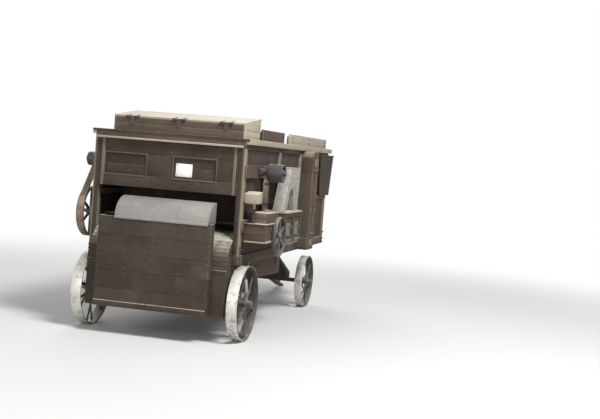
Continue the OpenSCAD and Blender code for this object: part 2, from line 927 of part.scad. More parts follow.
// Plates that hang the fixed axle from the sills
hang_t = 12;

module axle_plates() {
    color(IRON) in_frame() for (y0 = [-inner_y - hang_t, inner_y]) difference() {
        slab_y(y0, y0 + hang_t) polygon([
            [rear_x - 220, sill_z], [rear_x - 60, rear_r - 45],
            [rear_x + 60, rear_r - 45], [rear_x + 220, sill_z]
        ]);
        bar_y(rear_x, rear_r, spindle_r + 0.5, y0 - 1, y0 + hang_t + 1);
    }
}

// Turntable: fixed ring, its beams, and the king pin with its head
ring_r = 330;
ring_w = 60;
ring_z = 900;
ring_t = 30;
pin_r = 25;
pin_low = 620;

module ring(z) {
    difference() {
        translate([front_x, 0, z]) cylinder(r = ring_r, h = ring_t);
        translate([front_x, 0, z - 1]) cylinder(r = ring_r - ring_w, h = ring_t + 2);
    }
}

module turntable() {
    top = ring_z + ring_t;
    color(IRON) in_frame() {
        ring(ring_z);
        for (s = [-1, 1])
            side_span(s, [BEAMS[6][0], 180, top], [BEAMS[7][1], 260, sill_z]);
        span([front_x - 60, -260, ring_z + 10], [front_x + 60, 260, top]);
        translate([front_x, 0, pin_low]) cylinder(r = pin_r, h = top - pin_low);
        translate([front_x, 0, top]) cylinder(r = pin_r + 15, h = 20);
    }
}

// Open drum: shaft, discs with hubs, and bars with a rib on each
disc_t = 14;
disc_hub_l = 70;
bar_wide = 62;
bar_deep = 34;
rib_h = 6;
// Each disc's place, as a share of the drum's length from its middle
DISC_Y = [-0.47, -0.16, 0.16, 0.47];

module drum() {
    color(IRON) in_frame() {
        bar_y(drum_x, drum_z, drum_shaft_r, -half_w - side_out, half_w + side_out);
        for (f = DISC_Y) {
            y = f * drum_l;
            bar_y(drum_x, drum_z, drum_r - bar_deep + 6, y - disc_t / 2, y + disc_t / 2);
            bar_y(drum_x, drum_z, 2 * drum_shaft_r, y - disc_hub_l / 2, y + disc_hub_l / 2);
        }
        for (i = [0 : drum_bars - 1])
            translate([drum_x, 0, drum_z]) rotate([0, (i + 0.5) * 360 / drum_bars, 0]) {
                span([drum_r - bar_deep, -drum_l / 2, -bar_wide / 2],
                     [drum_r - 10, drum_l / 2, bar_wide / 2]);
                span([drum_r - 12, -drum_l / 2, rib_h - bar_wide / 2],
                     [drum_r - 10 + rib_h, drum_l / 2, bar_wide / 2 - 3 * rib_h]);
            }
    }
}

// A crowned pulley across the machine, with flat arms
rim_t = 11;
crown = 3;
hub_wall = 22;
arm_half_w = 17;
arm_half_t = 10;

module pulley(x, z, r, shaft_r, y0, y1, arms = 6) {
    m = (y0 + y1) / 2;
    hub = shaft_r + hub_wall;
    turned_y(x, z) polygon([
        [r - rim_t, y0], [r - crown, y0], [r, m], [r - crown, y1], [r - rim_t, y1]
    ]);
    bar_y(x, z, hub, y0 + 4, y1 - 4);
    for (i = [0 : arms - 1]) translate([x, m, z]) rotate([0, (i + 0.5) * 360 / arms, 0])
        span([hub - 6, -arm_half_t, -arm_half_w], [r - rim_t + 5, arm_half_t, arm_half_w]);
}

// Pulleys on the drum's shaft: [radius, y0, y1]
inner_r = 110;
outer_r = 95;
belt_y0 = half_w + 110;
belt_w = 110;
pulley_end = half_w + side_out - 35;
PULLEYS = [
    [drive_r, -pulley_end, drive_w - pulley_end],
    [inner_r, belt_y0, belt_y0 + belt_w],
    [outer_r, pulley_end - 90, pulley_end]
];

module drum_pulleys() {
    color(IRON) in_frame() for (p = PULLEYS) difference() {
        pulley(drum_x, drum_z, p[0], drum_shaft_r, p[1], p[2], 4);
        bar_y(drum_x, drum_z, drum_shaft_r, p[1] - 1, p[2] + 1);
    }
}

big_r = 330;

module cross_shaft() {
    color(IRON) in_frame() {
        bar_y(cross_x, cross_z, cross_r, 5 - rail_y - boss_t, belt_y0 + belt_w + 30);
        pulley(cross_x, cross_z, big_r, cross_r, belt_y0, belt_y0 + belt_w);
    }
}

module side_pulley() {
    y0 = side_y + 20;
    color(IRON) in_frame() mirror([0, 1, 0]) {
        bar_y(side_x, side_z, side_shaft_r, side_y - side_bore + 1, half_w + side_out);
        pulley(side_x, side_z, side_r, side_shaft_r, y0, y0 + 56);
    }
}

// Belt from the drum's shaft to the cross shaft
belt_t = 6;
belt_c = 0.5;

module belt_outline(grow) {
    hull() {
        translate([drum_x, drum_z]) circle(r = inner_r + grow);
        translate([cross_x, cross_z]) circle(r = big_r + grow);
    }
}

module belts() {
    color(BELT) in_frame() slab_y(belt_y0 + 10, belt_y0 + belt_w - 10) difference() {
        belt_outline(belt_c + belt_t);
        belt_outline(belt_c);
    }
}

// Steered bogie: shaped bolster, ring, two long arms and the lugs of the drawbar
bolster_w = 150;
bolster_y = 700;
bolster_top_y = 430;
bolster_end_h = 90;
arm_y = 260;
arm_w = 70;
arm_z0 = 570;
arm_z1 = 650;
arm_back = 420;
lug_r = 40;
bar_pin_r = 16;

module bolster() {
    low = front_r + 30;
    top = ring_z - face_c - ring_t;
    translate([front_x - bolster_w / 2, 0, 0]) rotate([90, 0, 90]) linear_extrude(bolster_w)
        polygon([
            [-bolster_y, low], [bolster_y, low], [bolster_y, low + bolster_end_h],
            [bolster_top_y, top - 10], [bolster_top_y, top],
            [-bolster_top_y, top], [-bolster_top_y, top - 10], [-bolster_y, low + bolster_end_h]
        ]);
}

module bogie_arm() {
    span([front_x - arm_back, arm_y, arm_z0], [bar_x - 30, arm_y + arm_w, arm_z1]);
    slab_y(arm_y, arm_y + arm_w) polygon([
        [bar_x - 220, arm_z1], [bar_x - 120, bar_z - lug_r], [bar_x + lug_r, bar_z - lug_r],
        [bar_x + lug_r, bar_z + lug_r], [bar_x - 20, arm_z1]
    ]);
}

module bogie() {
    color(WOOD) in_frame() difference() {
        union() {
            bolster();
            ring(ring_z - face_c - ring_t);
            for (s = [0, 1]) mirror([0, s, 0]) bogie_arm();
            span([front_x - arm_back, -arm_y, arm_z0 + 10],
                 [front_x - arm_back + 80, arm_y, arm_z1 - 10]);
        }
        translate([front_x, 0, front_r]) cylinder(r = pin_r + run_c, h = ring_z);
        bar_y(bar_x, bar_z, bar_pin_r + run_c, -arm_y - arm_w - 1, arm_y + arm_w + 1);
    }
}

module front_axle() {
    y_in = front_in - hub_in - 10;
    y_end = front_in - hub_in + bore_l - 5;
    color(IRON) in_frame() {
        span([front_x - 30, -y_in, front_r - 30], [front_x + 30, y_in, front_r + 30]);
        bar_y(front_x, front_r, spindle_r, -y_end, y_end);
    }
}

// Drawbar, drawn level along x from its hinge, then tilted so that its eye lies on the floor
fork_y = arm_y - 50;
fork_l = 930;
pole_end = bar_l - 200;
strap_t = 8;
nut_t = 14;

// The two tines, the pole and the piece between them
module drawbar_timber() {
    h = bar_h / 2;
    for (s = [-1, 1]) hull() {
        span([-40, s * fork_y - 30, -h], [40, s * fork_y + 30, h]);
        span([fork_l, s * 30 - 25, -h], [fork_l + 60, s * 30 + 25, h]);
    }
    span([fork_l - 100, -45, -h], [pole_end, 45, h]);
    span([380, 60 - fork_y, -20], [450, fork_y - 60, 20]);
}

// Iron eye with its straps on the pole, and the hinge pin with its nuts
module drawbar_iron() {
    h = bar_h / 2 + strap_t;
    nut_y = arm_y + arm_w + face_c;
    difference() {
        union() {
            translate([bar_l, 0, -eye_h / 2]) cylinder(r = eye_out_r, h = eye_h);
            span([pole_end, -32, -eye_h / 2], [bar_l, 32, eye_h / 2]);
        }
        translate([bar_l, 0, -eye_h]) cylinder(r = eye_r, h = 2 * eye_h);
    }
    for (z = [-h, h - strap_t]) span([pole_end - 320, -30, z], [pole_end + 10, 30, z + strap_t]);
    span([pole_end, -30, -h], [pole_end + 12, 30, h]);
    bar_y(0, 0, bar_pin_r, -nut_y - nut_t, nut_y + nut_t);
    for (y = [-nut_y - nut_t, nut_y]) bar_y(0, 0, bar_pin_r + 12, y, y + nut_t);
}

module drawbar() {
    color(WOOD) in_frame() translate([bar_x, 0, bar_z]) rotate([0, bar_tilt, 0]) {
        drawbar_timber();
        drawbar_iron();
    }
}

// Iron wheel, its inner face at y0: thin wide tyre, flanged hub, two staggered rows of spokes
hub_r = 62;
hub_core = 50;
flange_r = 78;
flange_y = 52;
flange_w = 18;
hub_cap_r = 40;
spoke_root = 43;
spoke_lean = 3;

module hub_outline(h0, m, h1) {
    f = flange_y - flange_w;
    polygon([
        [0, h0], [hub_r, h0], [hub_r, h0 + 16], [hub_core, h0 + 24],
        [hub_core, m - flange_y], [flange_r, m - flange_y], [flange_r, m - f], [hub_core, m - f],
        [hub_core, m + f], [flange_r, m + f], [flange_r, m + flange_y], [hub_core, m + flange_y],
        [hub_core, h1 - 44], [hub_cap_r, h1 - 44], [hub_cap_r, h1 - 8], [hub_cap_r - 8, h1], [0, h1]
    ]);
}

module wheel(x, r, w, y0) {
    m = y0 + w / 2;
    h0 = y0 - hub_in;
    difference() {
        union() {
            difference() {
                bar_y(x, r, r, y0, y0 + w);
                bar_y(x, r, r - tyre_t, y0 - 1, y0 + w + 1);
            }
            turned_y(x, r) hub_outline(h0, m, h0 + hub_l);
            for (i = [0 : spokes - 1]) let (s = i % 2 == 0 ? 1 : -1)
                translate([x, m, r]) rotate([0, (i + 0.5) * 360 / spokes, 0])
                    rotate([0, 0, -s * spoke_lean]) translate([0, s * spoke_root, 0])
                        span([hub_core - 8, -spoke_t / 2, -spoke_w / 2],
                             [r - tyre_t / 2, spoke_t / 2, spoke_w / 2]);
        }
        bar_y(x, r, spindle_r + run_c, h0 - 1, h0 + bore_l);
    }
}

module wheel_rear_left() {
    color(IRON_PALE) in_frame() wheel(rear_x, rear_r, rear_w, rear_in);
}

module wheel_rear_right() {
    color(IRON_PALE) in_frame() mirror([0, 1, 0]) wheel(rear_x, rear_r, rear_w, rear_in);
}

module wheel_front_left() {
    color(IRON_PALE) in_frame() wheel(front_x, front_r, front_w, front_in);
}

module wheel_front_right() {
    color(IRON_PALE) in_frame() mirror([0, 1, 0]) wheel(front_x, front_r, front_w, front_in);
}

side_frame_right();
side_frame_left();
side_boards_right();
side_boards_left();
cross_beams();
deck();
kick_boards();
drum_end_panel();
blank_plate();
drum_hood();
hood_lid();
feed_chute();
drum_box_floor();
inner_wall();
end_board();
curved_cover();
fan_casing();
bearings();
side_box();
grain_box();
sack_slides();
grain_spout();
grain_elevator();
walker_cover();
straw_walkers();
walker_shafts();
straw_hood();
floor_boards();
sieve_shoe();
shoe_hangers();
rear_axle();
axle_plates();
turntable();
drum();
drum_pulleys();
cross_shaft();
side_pulley();
belts();
bogie();
front_axle();
drawbar();
wheel_rear_right();
wheel_rear_left();
wheel_front_right();
wheel_front_left();
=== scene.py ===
"""Looks of a wooden portable threshing machine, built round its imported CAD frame.

Each sub-assembly is a class that builds and dresses its own pieces, and each finish is a
frozen dataclass that makes its material. Lengths are metres, +X the way the machine is drawn,
+Y its left side, +Z up, and the floor is z = 0.
"""

import json
import logging
import math
import random
from dataclasses import dataclass, replace
from enum import Enum
from typing import Callable, Iterable, Sequence

import bmesh
import bpy
import numpy as np
from mathutils import Matrix, Vector


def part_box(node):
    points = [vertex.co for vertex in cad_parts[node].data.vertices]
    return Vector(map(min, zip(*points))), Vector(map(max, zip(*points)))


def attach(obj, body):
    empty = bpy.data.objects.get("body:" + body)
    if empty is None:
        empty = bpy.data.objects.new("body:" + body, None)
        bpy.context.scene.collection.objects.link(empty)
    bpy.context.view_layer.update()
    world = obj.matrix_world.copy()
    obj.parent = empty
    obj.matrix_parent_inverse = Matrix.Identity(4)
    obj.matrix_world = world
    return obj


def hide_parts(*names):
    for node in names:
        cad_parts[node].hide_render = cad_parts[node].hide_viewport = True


log = logging.getLogger("thresher")
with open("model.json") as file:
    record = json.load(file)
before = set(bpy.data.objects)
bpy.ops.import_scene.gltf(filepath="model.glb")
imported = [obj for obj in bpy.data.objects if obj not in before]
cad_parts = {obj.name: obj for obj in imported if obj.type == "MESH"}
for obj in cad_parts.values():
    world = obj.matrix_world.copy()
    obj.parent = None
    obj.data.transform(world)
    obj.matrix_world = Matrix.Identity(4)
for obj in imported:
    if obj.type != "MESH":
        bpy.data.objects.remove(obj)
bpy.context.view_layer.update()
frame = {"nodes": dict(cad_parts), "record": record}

Colour = tuple[float, float, float]
Point = tuple[float, float, float]
Span = tuple[float, float]
Row = tuple[float, ...]
Piece = bpy.types.Object
Socket = bpy.types.NodeSocket


class Axis(Enum):
    """The way that a board's grain or a shaft runs."""

    X = 0
    Y = 1
    Z = 2


class Slot(Enum):
    """The record's material slots that added pieces take."""

    PAINTED = "painted_wood"
    DARK = "dark_wood"
    PALE = "pale_wood"
    SHEET = "sheet"
    IRON = "iron"


# Shader maths


@dataclass(frozen=True)
class Signal:
    """A value socket in a material, which Python's operators add Math nodes to."""

    graph: "Graph"
    socket: Socket

    def _math(self, operation: str, first: object, second: object) -> "Signal":
        """The result of a new Math node."""
        node = self.graph.node("ShaderNodeMath", {0: first, 1: second}, operation=operation)
        return Signal(self.graph, node.outputs[0])

    def __add__(self, other: object) -> "Signal":
        """Self plus other."""
        return self._math("ADD", self, other)

    __radd__ = __add__

    def __sub__(self, other: object) -> "Signal":
        """Self less other."""
        return self._math("SUBTRACT", self, other)

    def __rsub__(self, other: object) -> "Signal":
        """Other less self."""
        return self._math("SUBTRACT", other, self)

    def __mul__(self, other: object) -> "Signal":
        """Self times other."""
        return self._math("MULTIPLY", self, other)

    __rmul__ = __mul__

    def step(self, low: float, high: float) -> "Signal":
        """A smooth step from 0 at low to 1 at high, which may also fall."""
        node = self.graph.node("ShaderNodeMapRange", {0: self, 1: low, 2: high},
                               interpolation_type="SMOOTHSTEP")
        return Signal(self.graph, node.outputs[0])


class Graph:
    """The node tree of one material, or of the world."""

    def __init__(self, owner: bpy.types.Material | bpy.types.World) -> None:
        """Empties the node tree of a material or a world.

        Args:
            owner: whose tree it is.
        """
        self.owner = owner
        owner.use_nodes = True
        self.tree = owner.node_tree
        self.tree.nodes.clear()

    @classmethod
    def of(cls, name: str) -> "Graph":
        """The tree of a new material of that name."""
        return cls(bpy.data.materials.new(name))

    def node(self, kind: str, values: dict[object, object] | None = None,
             **settings: object) -> bpy.types.Node:
        """Adds a node, sets what it is, then fills its sockets.

        Args:
            kind: the node's type.
            values: its inputs by name or number, as numbers, colours or links.
            **settings: its own properties, which are set first.

        Returns:
            The node.
        """
        made = self.tree.nodes.new(kind)
        for name, value in settings.items():
            setattr(made, name, value)
        for name, value in (values or {}).items():
            socket = made.inputs[name]
            source = value.socket if isinstance(value, Signal) else value
            if isinstance(source, Socket):
                self.tree.links.new(source, socket)
            elif socket.type == "RGBA" and len(source) == 3:
                socket.default_value = (*source, 1.0)
            else:
                socket.default_value = source
        return made

    def coords(self) -> Socket:
        """The piece's own coordinates, in metres."""
        return self.node("ShaderNodeTexCoord").outputs["Object"]

    def upward(self) -> Signal:
        """How far the surface faces up in the piece's own frame, from -1 to 1."""
        normal = self.node("ShaderNodeTexCoord").outputs["Normal"]
        return Signal(self, self.node("ShaderNodeSeparateXYZ", {0: normal}).outputs["Z"])

    def attribute(self, name: str) -> Signal:
        """A value that is stored on the mesh under that name."""
        return Signal(self, self.node("ShaderNodeAttribute", attribute_name=name).outputs["Fac"])

    def shifted(self, scale: Point = (1.0, 1.0, 1.0), shift: Signal | None = None) -> Socket:
        """The piece's own coordinates, scaled, and moved along by a value.

        Args:
            scale: the factor of each coordinate.
            shift: a value that is added to all three, so that boards differ.

        Returns:
            The vector.
        """
        found = self.node("ShaderNodeVectorMath", {0: self.coords(), 1: scale}, operation="MULTIPLY")
        if shift is not None:
            found = self.node("ShaderNodeVectorMath", {0: found.outputs[0], 1: shift}, operation="ADD")
        return found.outputs[0]

    def noise(self, vector: Socket, scale: float, detail: float = 4.0,
              rough: float = 0.55, warp: float = 0.0) -> Signal:
        """Cloudy noise from about 0.2 to 0.8, whose scale is a frequency per metre of the vector."""
        values = {"Vector": vector, "Scale": scale, "Detail": detail, "Roughness": rough, "Distortion": warp}
        return Signal(self, self.node("ShaderNodeTexNoise", values).outputs[0])

    def mix(self, factor: object, first: object, second: object) -> Signal:
        """Two colours or links mixed, by the share of the second."""
        # Sockets 6 and 7 are the colour inputs, and output 2 is the colour
        made = self.node("ShaderNodeMix", {0: factor, 6: first, 7: second}, data_type="RGBA",
                         clamp_result=True)
        return Signal(self, made.outputs[2])

    def surface(self, colour: object, rough: object, metal: float, height: Signal,
                depth: float, coat: float = 0.0, gloss: float = 0.5) -> bpy.types.Material:
        """Joins the results to the shader.

        Args:
            colour: the base colour.
            rough: the roughness.
            metal: how metallic it is.
            height: the relief, from 0 to 1.
            depth: the relief's depth in metres.
            coat: the weight of a clear coat.
            gloss: the level of the plain reflection.

        Returns:
            The finished material.
        """
        bump = self.node("ShaderNodeBump", {"Strength": 1.0, "Distance": depth, "Height": height})
        values = {"Base Color": colour, "Roughness": rough, "Metallic": metal,
                  "Normal": bump.outputs[0], "Coat Weight": coat, "Specular IOR Level": gloss}
        shader = self.node("ShaderNodeBsdfPrincipled", values)
        self.node("ShaderNodeOutputMaterial", {"Surface": shader.outputs[0]})
        return self.owner


# Finishes. Each step's two numbers are the noise levels between which it rises

DUST: Colour = (0.500, 0.455, 0.380)


def scaled(colour: Colour, factor: float) -> Colour:
    """The colour, darker or lighter by a factor."""
    return tuple(min(1.0, value * factor) for value in colour)


class Wood(Enum):
    """The kinds of wood: base, dark and worn colours, share of dust and of wear."""

    BROWN = ((0.098, 0.070, 0.050), (0.048, 0.034, 0.025), (0.240, 0.196, 0.148), 0.80, 0.38)
    UMBER = ((0.056, 0.041, 0.031), (0.032, 0.024, 0.019), (0.150, 0.122, 0.094), 0.80, 0.25)
    ASH = ((0.205, 0.166, 0.124), (0.112, 0.088, 0.066), (0.360, 0.312, 0.248), 0.85, 0.42)
    BARE = ((0.390, 0.338, 0.265), (0.215, 0.182, 0.142), (0.540, 0.490, 0.405), 0.85, 0.60)


@dataclass(frozen=True)
class Timber:
    """Old boards or beams, whose grain runs along one axis."""

    kind: Wood
    grain: Axis
    across: float = 95.0
    along: float = 2.4
    relief: float = 0.0011
    gloss: float = 0.14

    def material(self) -> bpy.types.Material:
        """The wood's material, with grain, tone by board, wear, stains and dust.

        Returns:
            The material.
        """
        base, dark, bright, dust, wear = self.kind.value
        graph = Graph.of(f"{self.kind.name.lower()}_{self.grain.name.lower()}")
        tone, edge, seam = (graph.attribute(n) for n in ("tone", "edge", "seam"))
        stretch = tuple(self.along if axis is self.grain else self.across for axis in Axis)
        along = graph.shifted(stretch, tone * 37.0)
        plain = graph.shifted(shift=tone * 11.0)
        fibre = graph.noise(along, 1.0, 5.0, 0.6, 0.2)
        fine = graph.noise(along, 3.4, 3.0, 0.6)
        patch = graph.noise(plain, 1.7, 5.0, 0.6, 0.4)
        blotch = graph.noise(plain, 9.0, 4.0, 0.62)
        drips = graph.noise(graph.shifted((14.0, 14.0, 0.9)), 1.0, 4.0, 0.6, 0.2)
        paint = graph.mix(fibre.step(0.34, 0.66) * 0.5 + 0.5, dark, base)
        paint = graph.mix(tone * 0.38, paint, dark)
        paint = graph.mix(drips.step(0.50, 0.74) * 0.40, paint, dark)
        bare = (patch * 0.5 + fine * 0.3 + blotch * 0.2 + edge * 0.20).step(0.60 - 0.12 * wear, 0.74)
        worn = graph.mix(bare * (0.3 + 0.6 * wear), paint, bright)
        worn = graph.mix(edge * (blotch.step(0.30, 0.60) * 0.42), worn, bright)
        worn = graph.mix(seam * 0.78, worn, scaled(dark, 0.35))
        settled = graph.upward().step(0.30, 0.90) * (blotch * 0.7 + patch * 0.5).step(0.36, 0.64)
        dusty = graph.mix(settled * dust, worn, DUST)
        film = (patch * 0.6 + fine * 0.4).step(0.40, 0.66) * 0.06
        dusty = graph.mix(film, dusty, DUST)
        rough = 0.68 + 0.14 * blotch + 0.1 * settled
        height = fibre * 0.6 + fine * 0.4 - bare * 0.1
        return graph.surface(dusty, rough, 0.0, height, self.relief, gloss=self.gloss)


@dataclass(frozen=True)
class Iron:
    """Cast or forged iron, oiled, rusted and rubbed bright on its edges."""

    name: str
    base: Colour
    rust: Colour
    bright: Colour
    rusting: float = 0.5
    metal: float = 0.45
    tread: float = 0.0
    dust: float = 0.35
    relief: float = 0.0009

    def material(self) -> bpy.types.Material:
        """The iron's material, rubbed bright where the edge and tread attributes say.

        Returns:
            The material.
        """
        graph = Graph.of(self.name)
        here = graph.shifted()
        cloud = graph.noise(here, 7.0, 6.0, 0.62, 0.3)
        grain = graph.noise(here, 120.0, 4.0, 0.6)
        rusty = (cloud * 0.75 + grain * 0.25).step(0.62 - 0.2 * self.rusting, 0.72 - 0.1 * self.rusting)
        colour = graph.mix(rusty * 0.8, self.base, self.rust)
        clean = 1.0 - graph.noise(here, 12.0, 5.0, 0.62, 0.2).step(0.48, 0.66) * 0.5
        bright = graph.attribute("edge") * 0.45 + graph.attribute("tread") + grain * 0.3
        rubbed = bright.step(0.50, 0.80) * clean
        colour = graph.mix(rubbed * (0.55 + 0.45 * self.tread), colour, self.bright)
        colour = graph.mix(graph.attribute("seam") * 0.6, colour, scaled(self.base, 0.4))
        settled = graph.upward().step(0.5, 0.95) * cloud.step(0.4, 0.62)
        colour = graph.mix(settled * self.dust, colour, DUST)
        rough = 0.48 + 0.28 * rusty + 0.12 * grain - 0.12 * rubbed
        return graph.surface(colour, rough, self.metal, grain * 0.6 + cloud * 0.4, self.relief)


@dataclass(frozen=True)
class Sheet:
    """Dull zinc-coated sheet with soft dents, spangle, streaks and a little rust."""

    name: str
    base: Colour
    dull: Colour
    rust: Colour
    dust: float = 0.5
    metal: float = 0.25
    relief: float = 0.0035

    def material(self) -> bpy.types.Material:
        """The sheet's material, with rust along its seams.

        Returns:
            The material.
        """
        graph = Graph.of(self.name)
        here = graph.shifted()
        dents = graph.noise(here, 2.6, 2.0, 0.5)
        cloud = graph.noise(here, 13.0, 6.0, 0.62, 0.3)
        streaks = graph.noise(graph.shifted((26.0, 26.0, 1.2)), 1.0, 4.0, 0.6)
        flakes = graph.node("ShaderNodeTexVoronoi", {"Vector": here, "Scale": 70.0})
        spangle = Signal(graph, flakes.outputs["Distance"])
        seam, edge = graph.attribute("seam"), graph.attribute("edge")
        colour = graph.mix(cloud.step(0.25, 0.75), self.dull, self.base)
        colour = graph.mix(spangle.step(0.1, 0.7) * 0.10, colour, self.dull)
        colour = graph.mix(streaks.step(0.54, 0.76) * 0.38, colour, self.dull)
        rusty = (cloud * 0.7 + edge * 0.14 + seam * 0.22).step(0.50, 0.66)
        colour = graph.mix(rusty * 0.45, colour, self.rust)
        colour = graph.mix(edge * 0.30, colour, scaled(self.base, 1.7))
        colour = graph.mix(seam * 0.5, colour, scaled(self.dull, 0.4))
        settled = graph.upward().step(0.4, 0.95) * dents.step(0.35, 0.6)
        colour = graph.mix(settled * self.dust, colour, DUST)
        rough = 0.50 + 0.16 * cloud + 0.16 * rusty
        return graph.surface(colour, rough, self.metal, dents * 0.85 + cloud * 0.15, self.relief)


@dataclass(frozen=True)
class Leather:
    """A worn flat belt."""

    name: str
    base: Colour
    worn: Colour
    relief: float = 0.0012

    def material(self) -> bpy.types.Material:
        """The belt's material, worn pale at its edges.

        Returns:
            The material.
        """
        graph = Graph.of(self.name)
        here = graph.shifted()
        cloud = graph.noise(here, 8.0, 5.0, 0.6)
        pores = graph.noise(here, 260.0, 2.0, 0.5)
        lines = graph.noise(graph.shifted((2.0, 70.0, 2.0)), 1.0, 4.0, 0.6)
        colour = graph.mix(cloud.step(0.3, 0.7), self.base, self.worn)
        colour = graph.mix(lines.step(0.5, 0.8) * 0.4, colour, self.base)
        colour = graph.mix(graph.attribute("edge") * 0.5, colour, self.worn)
        return graph.surface(colour, 0.62 + 0.2 * cloud, 0.0, pores * 0.5 + lines * 0.5, self.relief)


@dataclass(frozen=True)
class Enamel:
    """A blank enamelled plate with a few chips and grime at its rim."""

    name: str
    base: Colour
    grime: Colour
    relief: float = 0.0006
    coat: float = 0.3

    def material(self) -> bpy.types.Material:
        """The plate's material.

        Returns:
            The material.
        """
        graph = Graph.of(self.name)
        here = graph.shifted()
        cloud = graph.noise(here, 14.0, 5.0, 0.6)
        chips = graph.noise(here, 60.0, 3.0, 0.6).step(0.68, 0.72)
        colour = graph.mix(cloud.step(0.55, 0.85) * 0.3, self.base, self.grime)
        colour = graph.mix(chips + graph.attribute("edge") * 0.4, colour, self.grime)
        return graph.surface(colour, 0.25 + 0.4 * cloud, 0.0, cloud, self.relief, self.coat)


Finish = Timber | Iron | Sheet | Leather | Enamel
IRON = Iron("oiled_iron", (0.062, 0.058, 0.056), (0.112, 0.074, 0.052), (0.270, 0.260, 0.245))
PULLEY = Iron("pulley_iron", (0.105, 0.098, 0.090), (0.150, 0.105, 0.078), (0.420, 0.405, 0.380))
NAILS = Iron("nail_iron", (0.190, 0.172, 0.150), (0.150, 0.100, 0.070), (0.380, 0.350, 0.310))
WHEEL_IRON = Iron("wheel_iron", (0.108, 0.097, 0.086), (0.150, 0.110, 0.082), (0.640, 0.610, 0.560),
                  rusting=0.45, metal=0.35, tread=1.0)
ZINC = Sheet("zinc_sheet", (0.170, 0.163, 0.150), (0.110, 0.105, 0.096), (0.150, 0.098, 0.066))
COVER = Sheet("cover_sheet", (0.262, 0.250, 0.230), (0.215, 0.204, 0.187), (0.150, 0.108, 0.078), 0.20)
SPOUT = Sheet("spout_sheet", (0.335, 0.318, 0.285), (0.215, 0.202, 0.178), (0.200, 0.140, 0.098))
HIDE = Leather("belt_leather", (0.115, 0.078, 0.052), (0.260, 0.200, 0.150))
WHITE = Enamel("white_enamel", (0.820, 0.815, 0.790), (0.240, 0.200, 0.160))


# Modelling

# The x of the drum end's plane, from which every x below counts
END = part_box("side_frame_right")[0].x
# Edges sharper than the first angle are eased, and faces that meet at less than the second look round
SHARP = math.radians(32)
ROUND = math.radians(34)
SEAM = 0.002  # how wide a seam between sheets is
BEHIND: Point = (1.0, 0.0, 0.0)
AHEAD: Point = (-1.0, 0.0, 0.0)
UP: Point = (0.0, 0.0, 1.0)
DOWN: Point = (0.0, 0.0, -1.0)


class Side(Enum):
    """A side of the machine, by the sign of its y."""

    RIGHT = -1
    LEFT = 1

    @property
    def label(self) -> str:
        """The side's name in a piece's name."""
        return self.name.lower()

    @property
    def way(self) -> Point:
        """The way that it faces."""
        return 0.0, float(self.value), 0.0


@dataclass(frozen=True)
class Joint:
    """A plane where two boards meet, or where a node is parted."""

    at: Point
    normal: Point

    def point(self, shift: float = 0.0) -> Vector:
        """The plane's point in the scene, moved along its normal."""
        return Vector((END + self.at[0], self.at[1], self.at[2])) + Vector(self.normal) * shift

    def offsets(self, points: np.ndarray) -> np.ndarray:
        """How far points lie from the plane, along its normal."""
        return (points - np.array(self.point())) @ np.array(self.normal)


def row(axis: Axis, low: float, high: float, count: int) -> list[Joint]:
    """The joints between boards of one width, side by side.

    Args:
        axis: the way across the boards.
        low: where the first board starts.
        high: where the last one ends.
        count: how many boards there are.

    Returns:
        The joints.
    """
    normal = tuple(float(i == axis.value) for i in range(3))
    step = (high - low) / count
    return [Joint(tuple((low + i * step) * n for n in normal), normal) for i in range(1, count)]


def level(z: float, keep: Point = UP) -> Joint:
    """A level plane at that height, with the way of the side that a cut keeps."""
    return Joint((0.0, 0.0, z), keep)


def fan(centre: Span, first: float, last: float, count: int) -> list[Joint]:
    """The joints of laths bent round a line across, between two angles from +X in degrees."""
    angles = [math.radians(first + (last - first) * i / count) for i in range(1, count)]
    return [Joint((centre[0], 0.0, centre[1]), (-math.sin(a), 0.0, math.cos(a))) for a in angles]


@dataclass(frozen=True)
class Board:
    """A board or bar by its corners, turned about its middle in degrees. Its far top edge may rise."""

    low: Point
    high: Point
    turn: float = 0.0
    rise: float = 0.0

    def on(self, side: Side) -> "Board":
        """The same board on one side, where y counts outwards."""
        y0, y1 = sorted((self.low[1] * side.value, self.high[1] * side.value))
        return replace(self, low=(self.low[0], y0, self.low[2]), high=(self.high[0], y1, self.high[2]))

    def add(self, piece: Piece) -> None:
        """Adds the board to a piece in edit mode.

        Args:
            piece: the piece that is being built.
        """
        low, high = Vector(self.low), Vector(self.high)
        middle = (low + high) / 2 + Vector((END, 0, 0))
        turn = (0.0, math.radians(self.turn), 0.0)
        bpy.ops.mesh.primitive_cube_add(size=1, location=middle, rotation=turn, scale=high - low)
        if self.rise:
            new = [v for v in bmesh.from_edit_mesh(piece.data).verts if v.select]
            Bench.only(piece, [v for v in new if v.co.x > middle.x and v.co.z > middle.z])
            bpy.ops.transform.translate(value=(0, 0, self.rise))


def mirrored(board: Board) -> list[Board]:
    """A board on both sides, right first."""
    return [board.on(side) for side in Side]


def right(boards: Iterable[Board]) -> list[Board]:
    """Boards on the right side, where y counts outwards."""
    return [board.on(Side.RIGHT) for board in boards]


@dataclass(frozen=True)
class Rod:
    """A round bar between two points, x from the drum end."""

    start: Point
    end: Point
    radius: float
    sides: int = 24

    def add(self, piece: Piece) -> None:
        """Adds the bar to a piece in edit mode.

        Args:
            piece: the piece that is being built.
        """
        start, end = Vector(self.start), Vector(self.end)
        way = end - start
        middle = (start + end) / 2 + Vector((END, 0, 0))
        bpy.ops.mesh.primitive_cylinder_add(vertices=self.sides, radius=self.radius, depth=way.length,
                                            location=middle, rotation=way.to_track_quat("Z", "Y").to_euler())


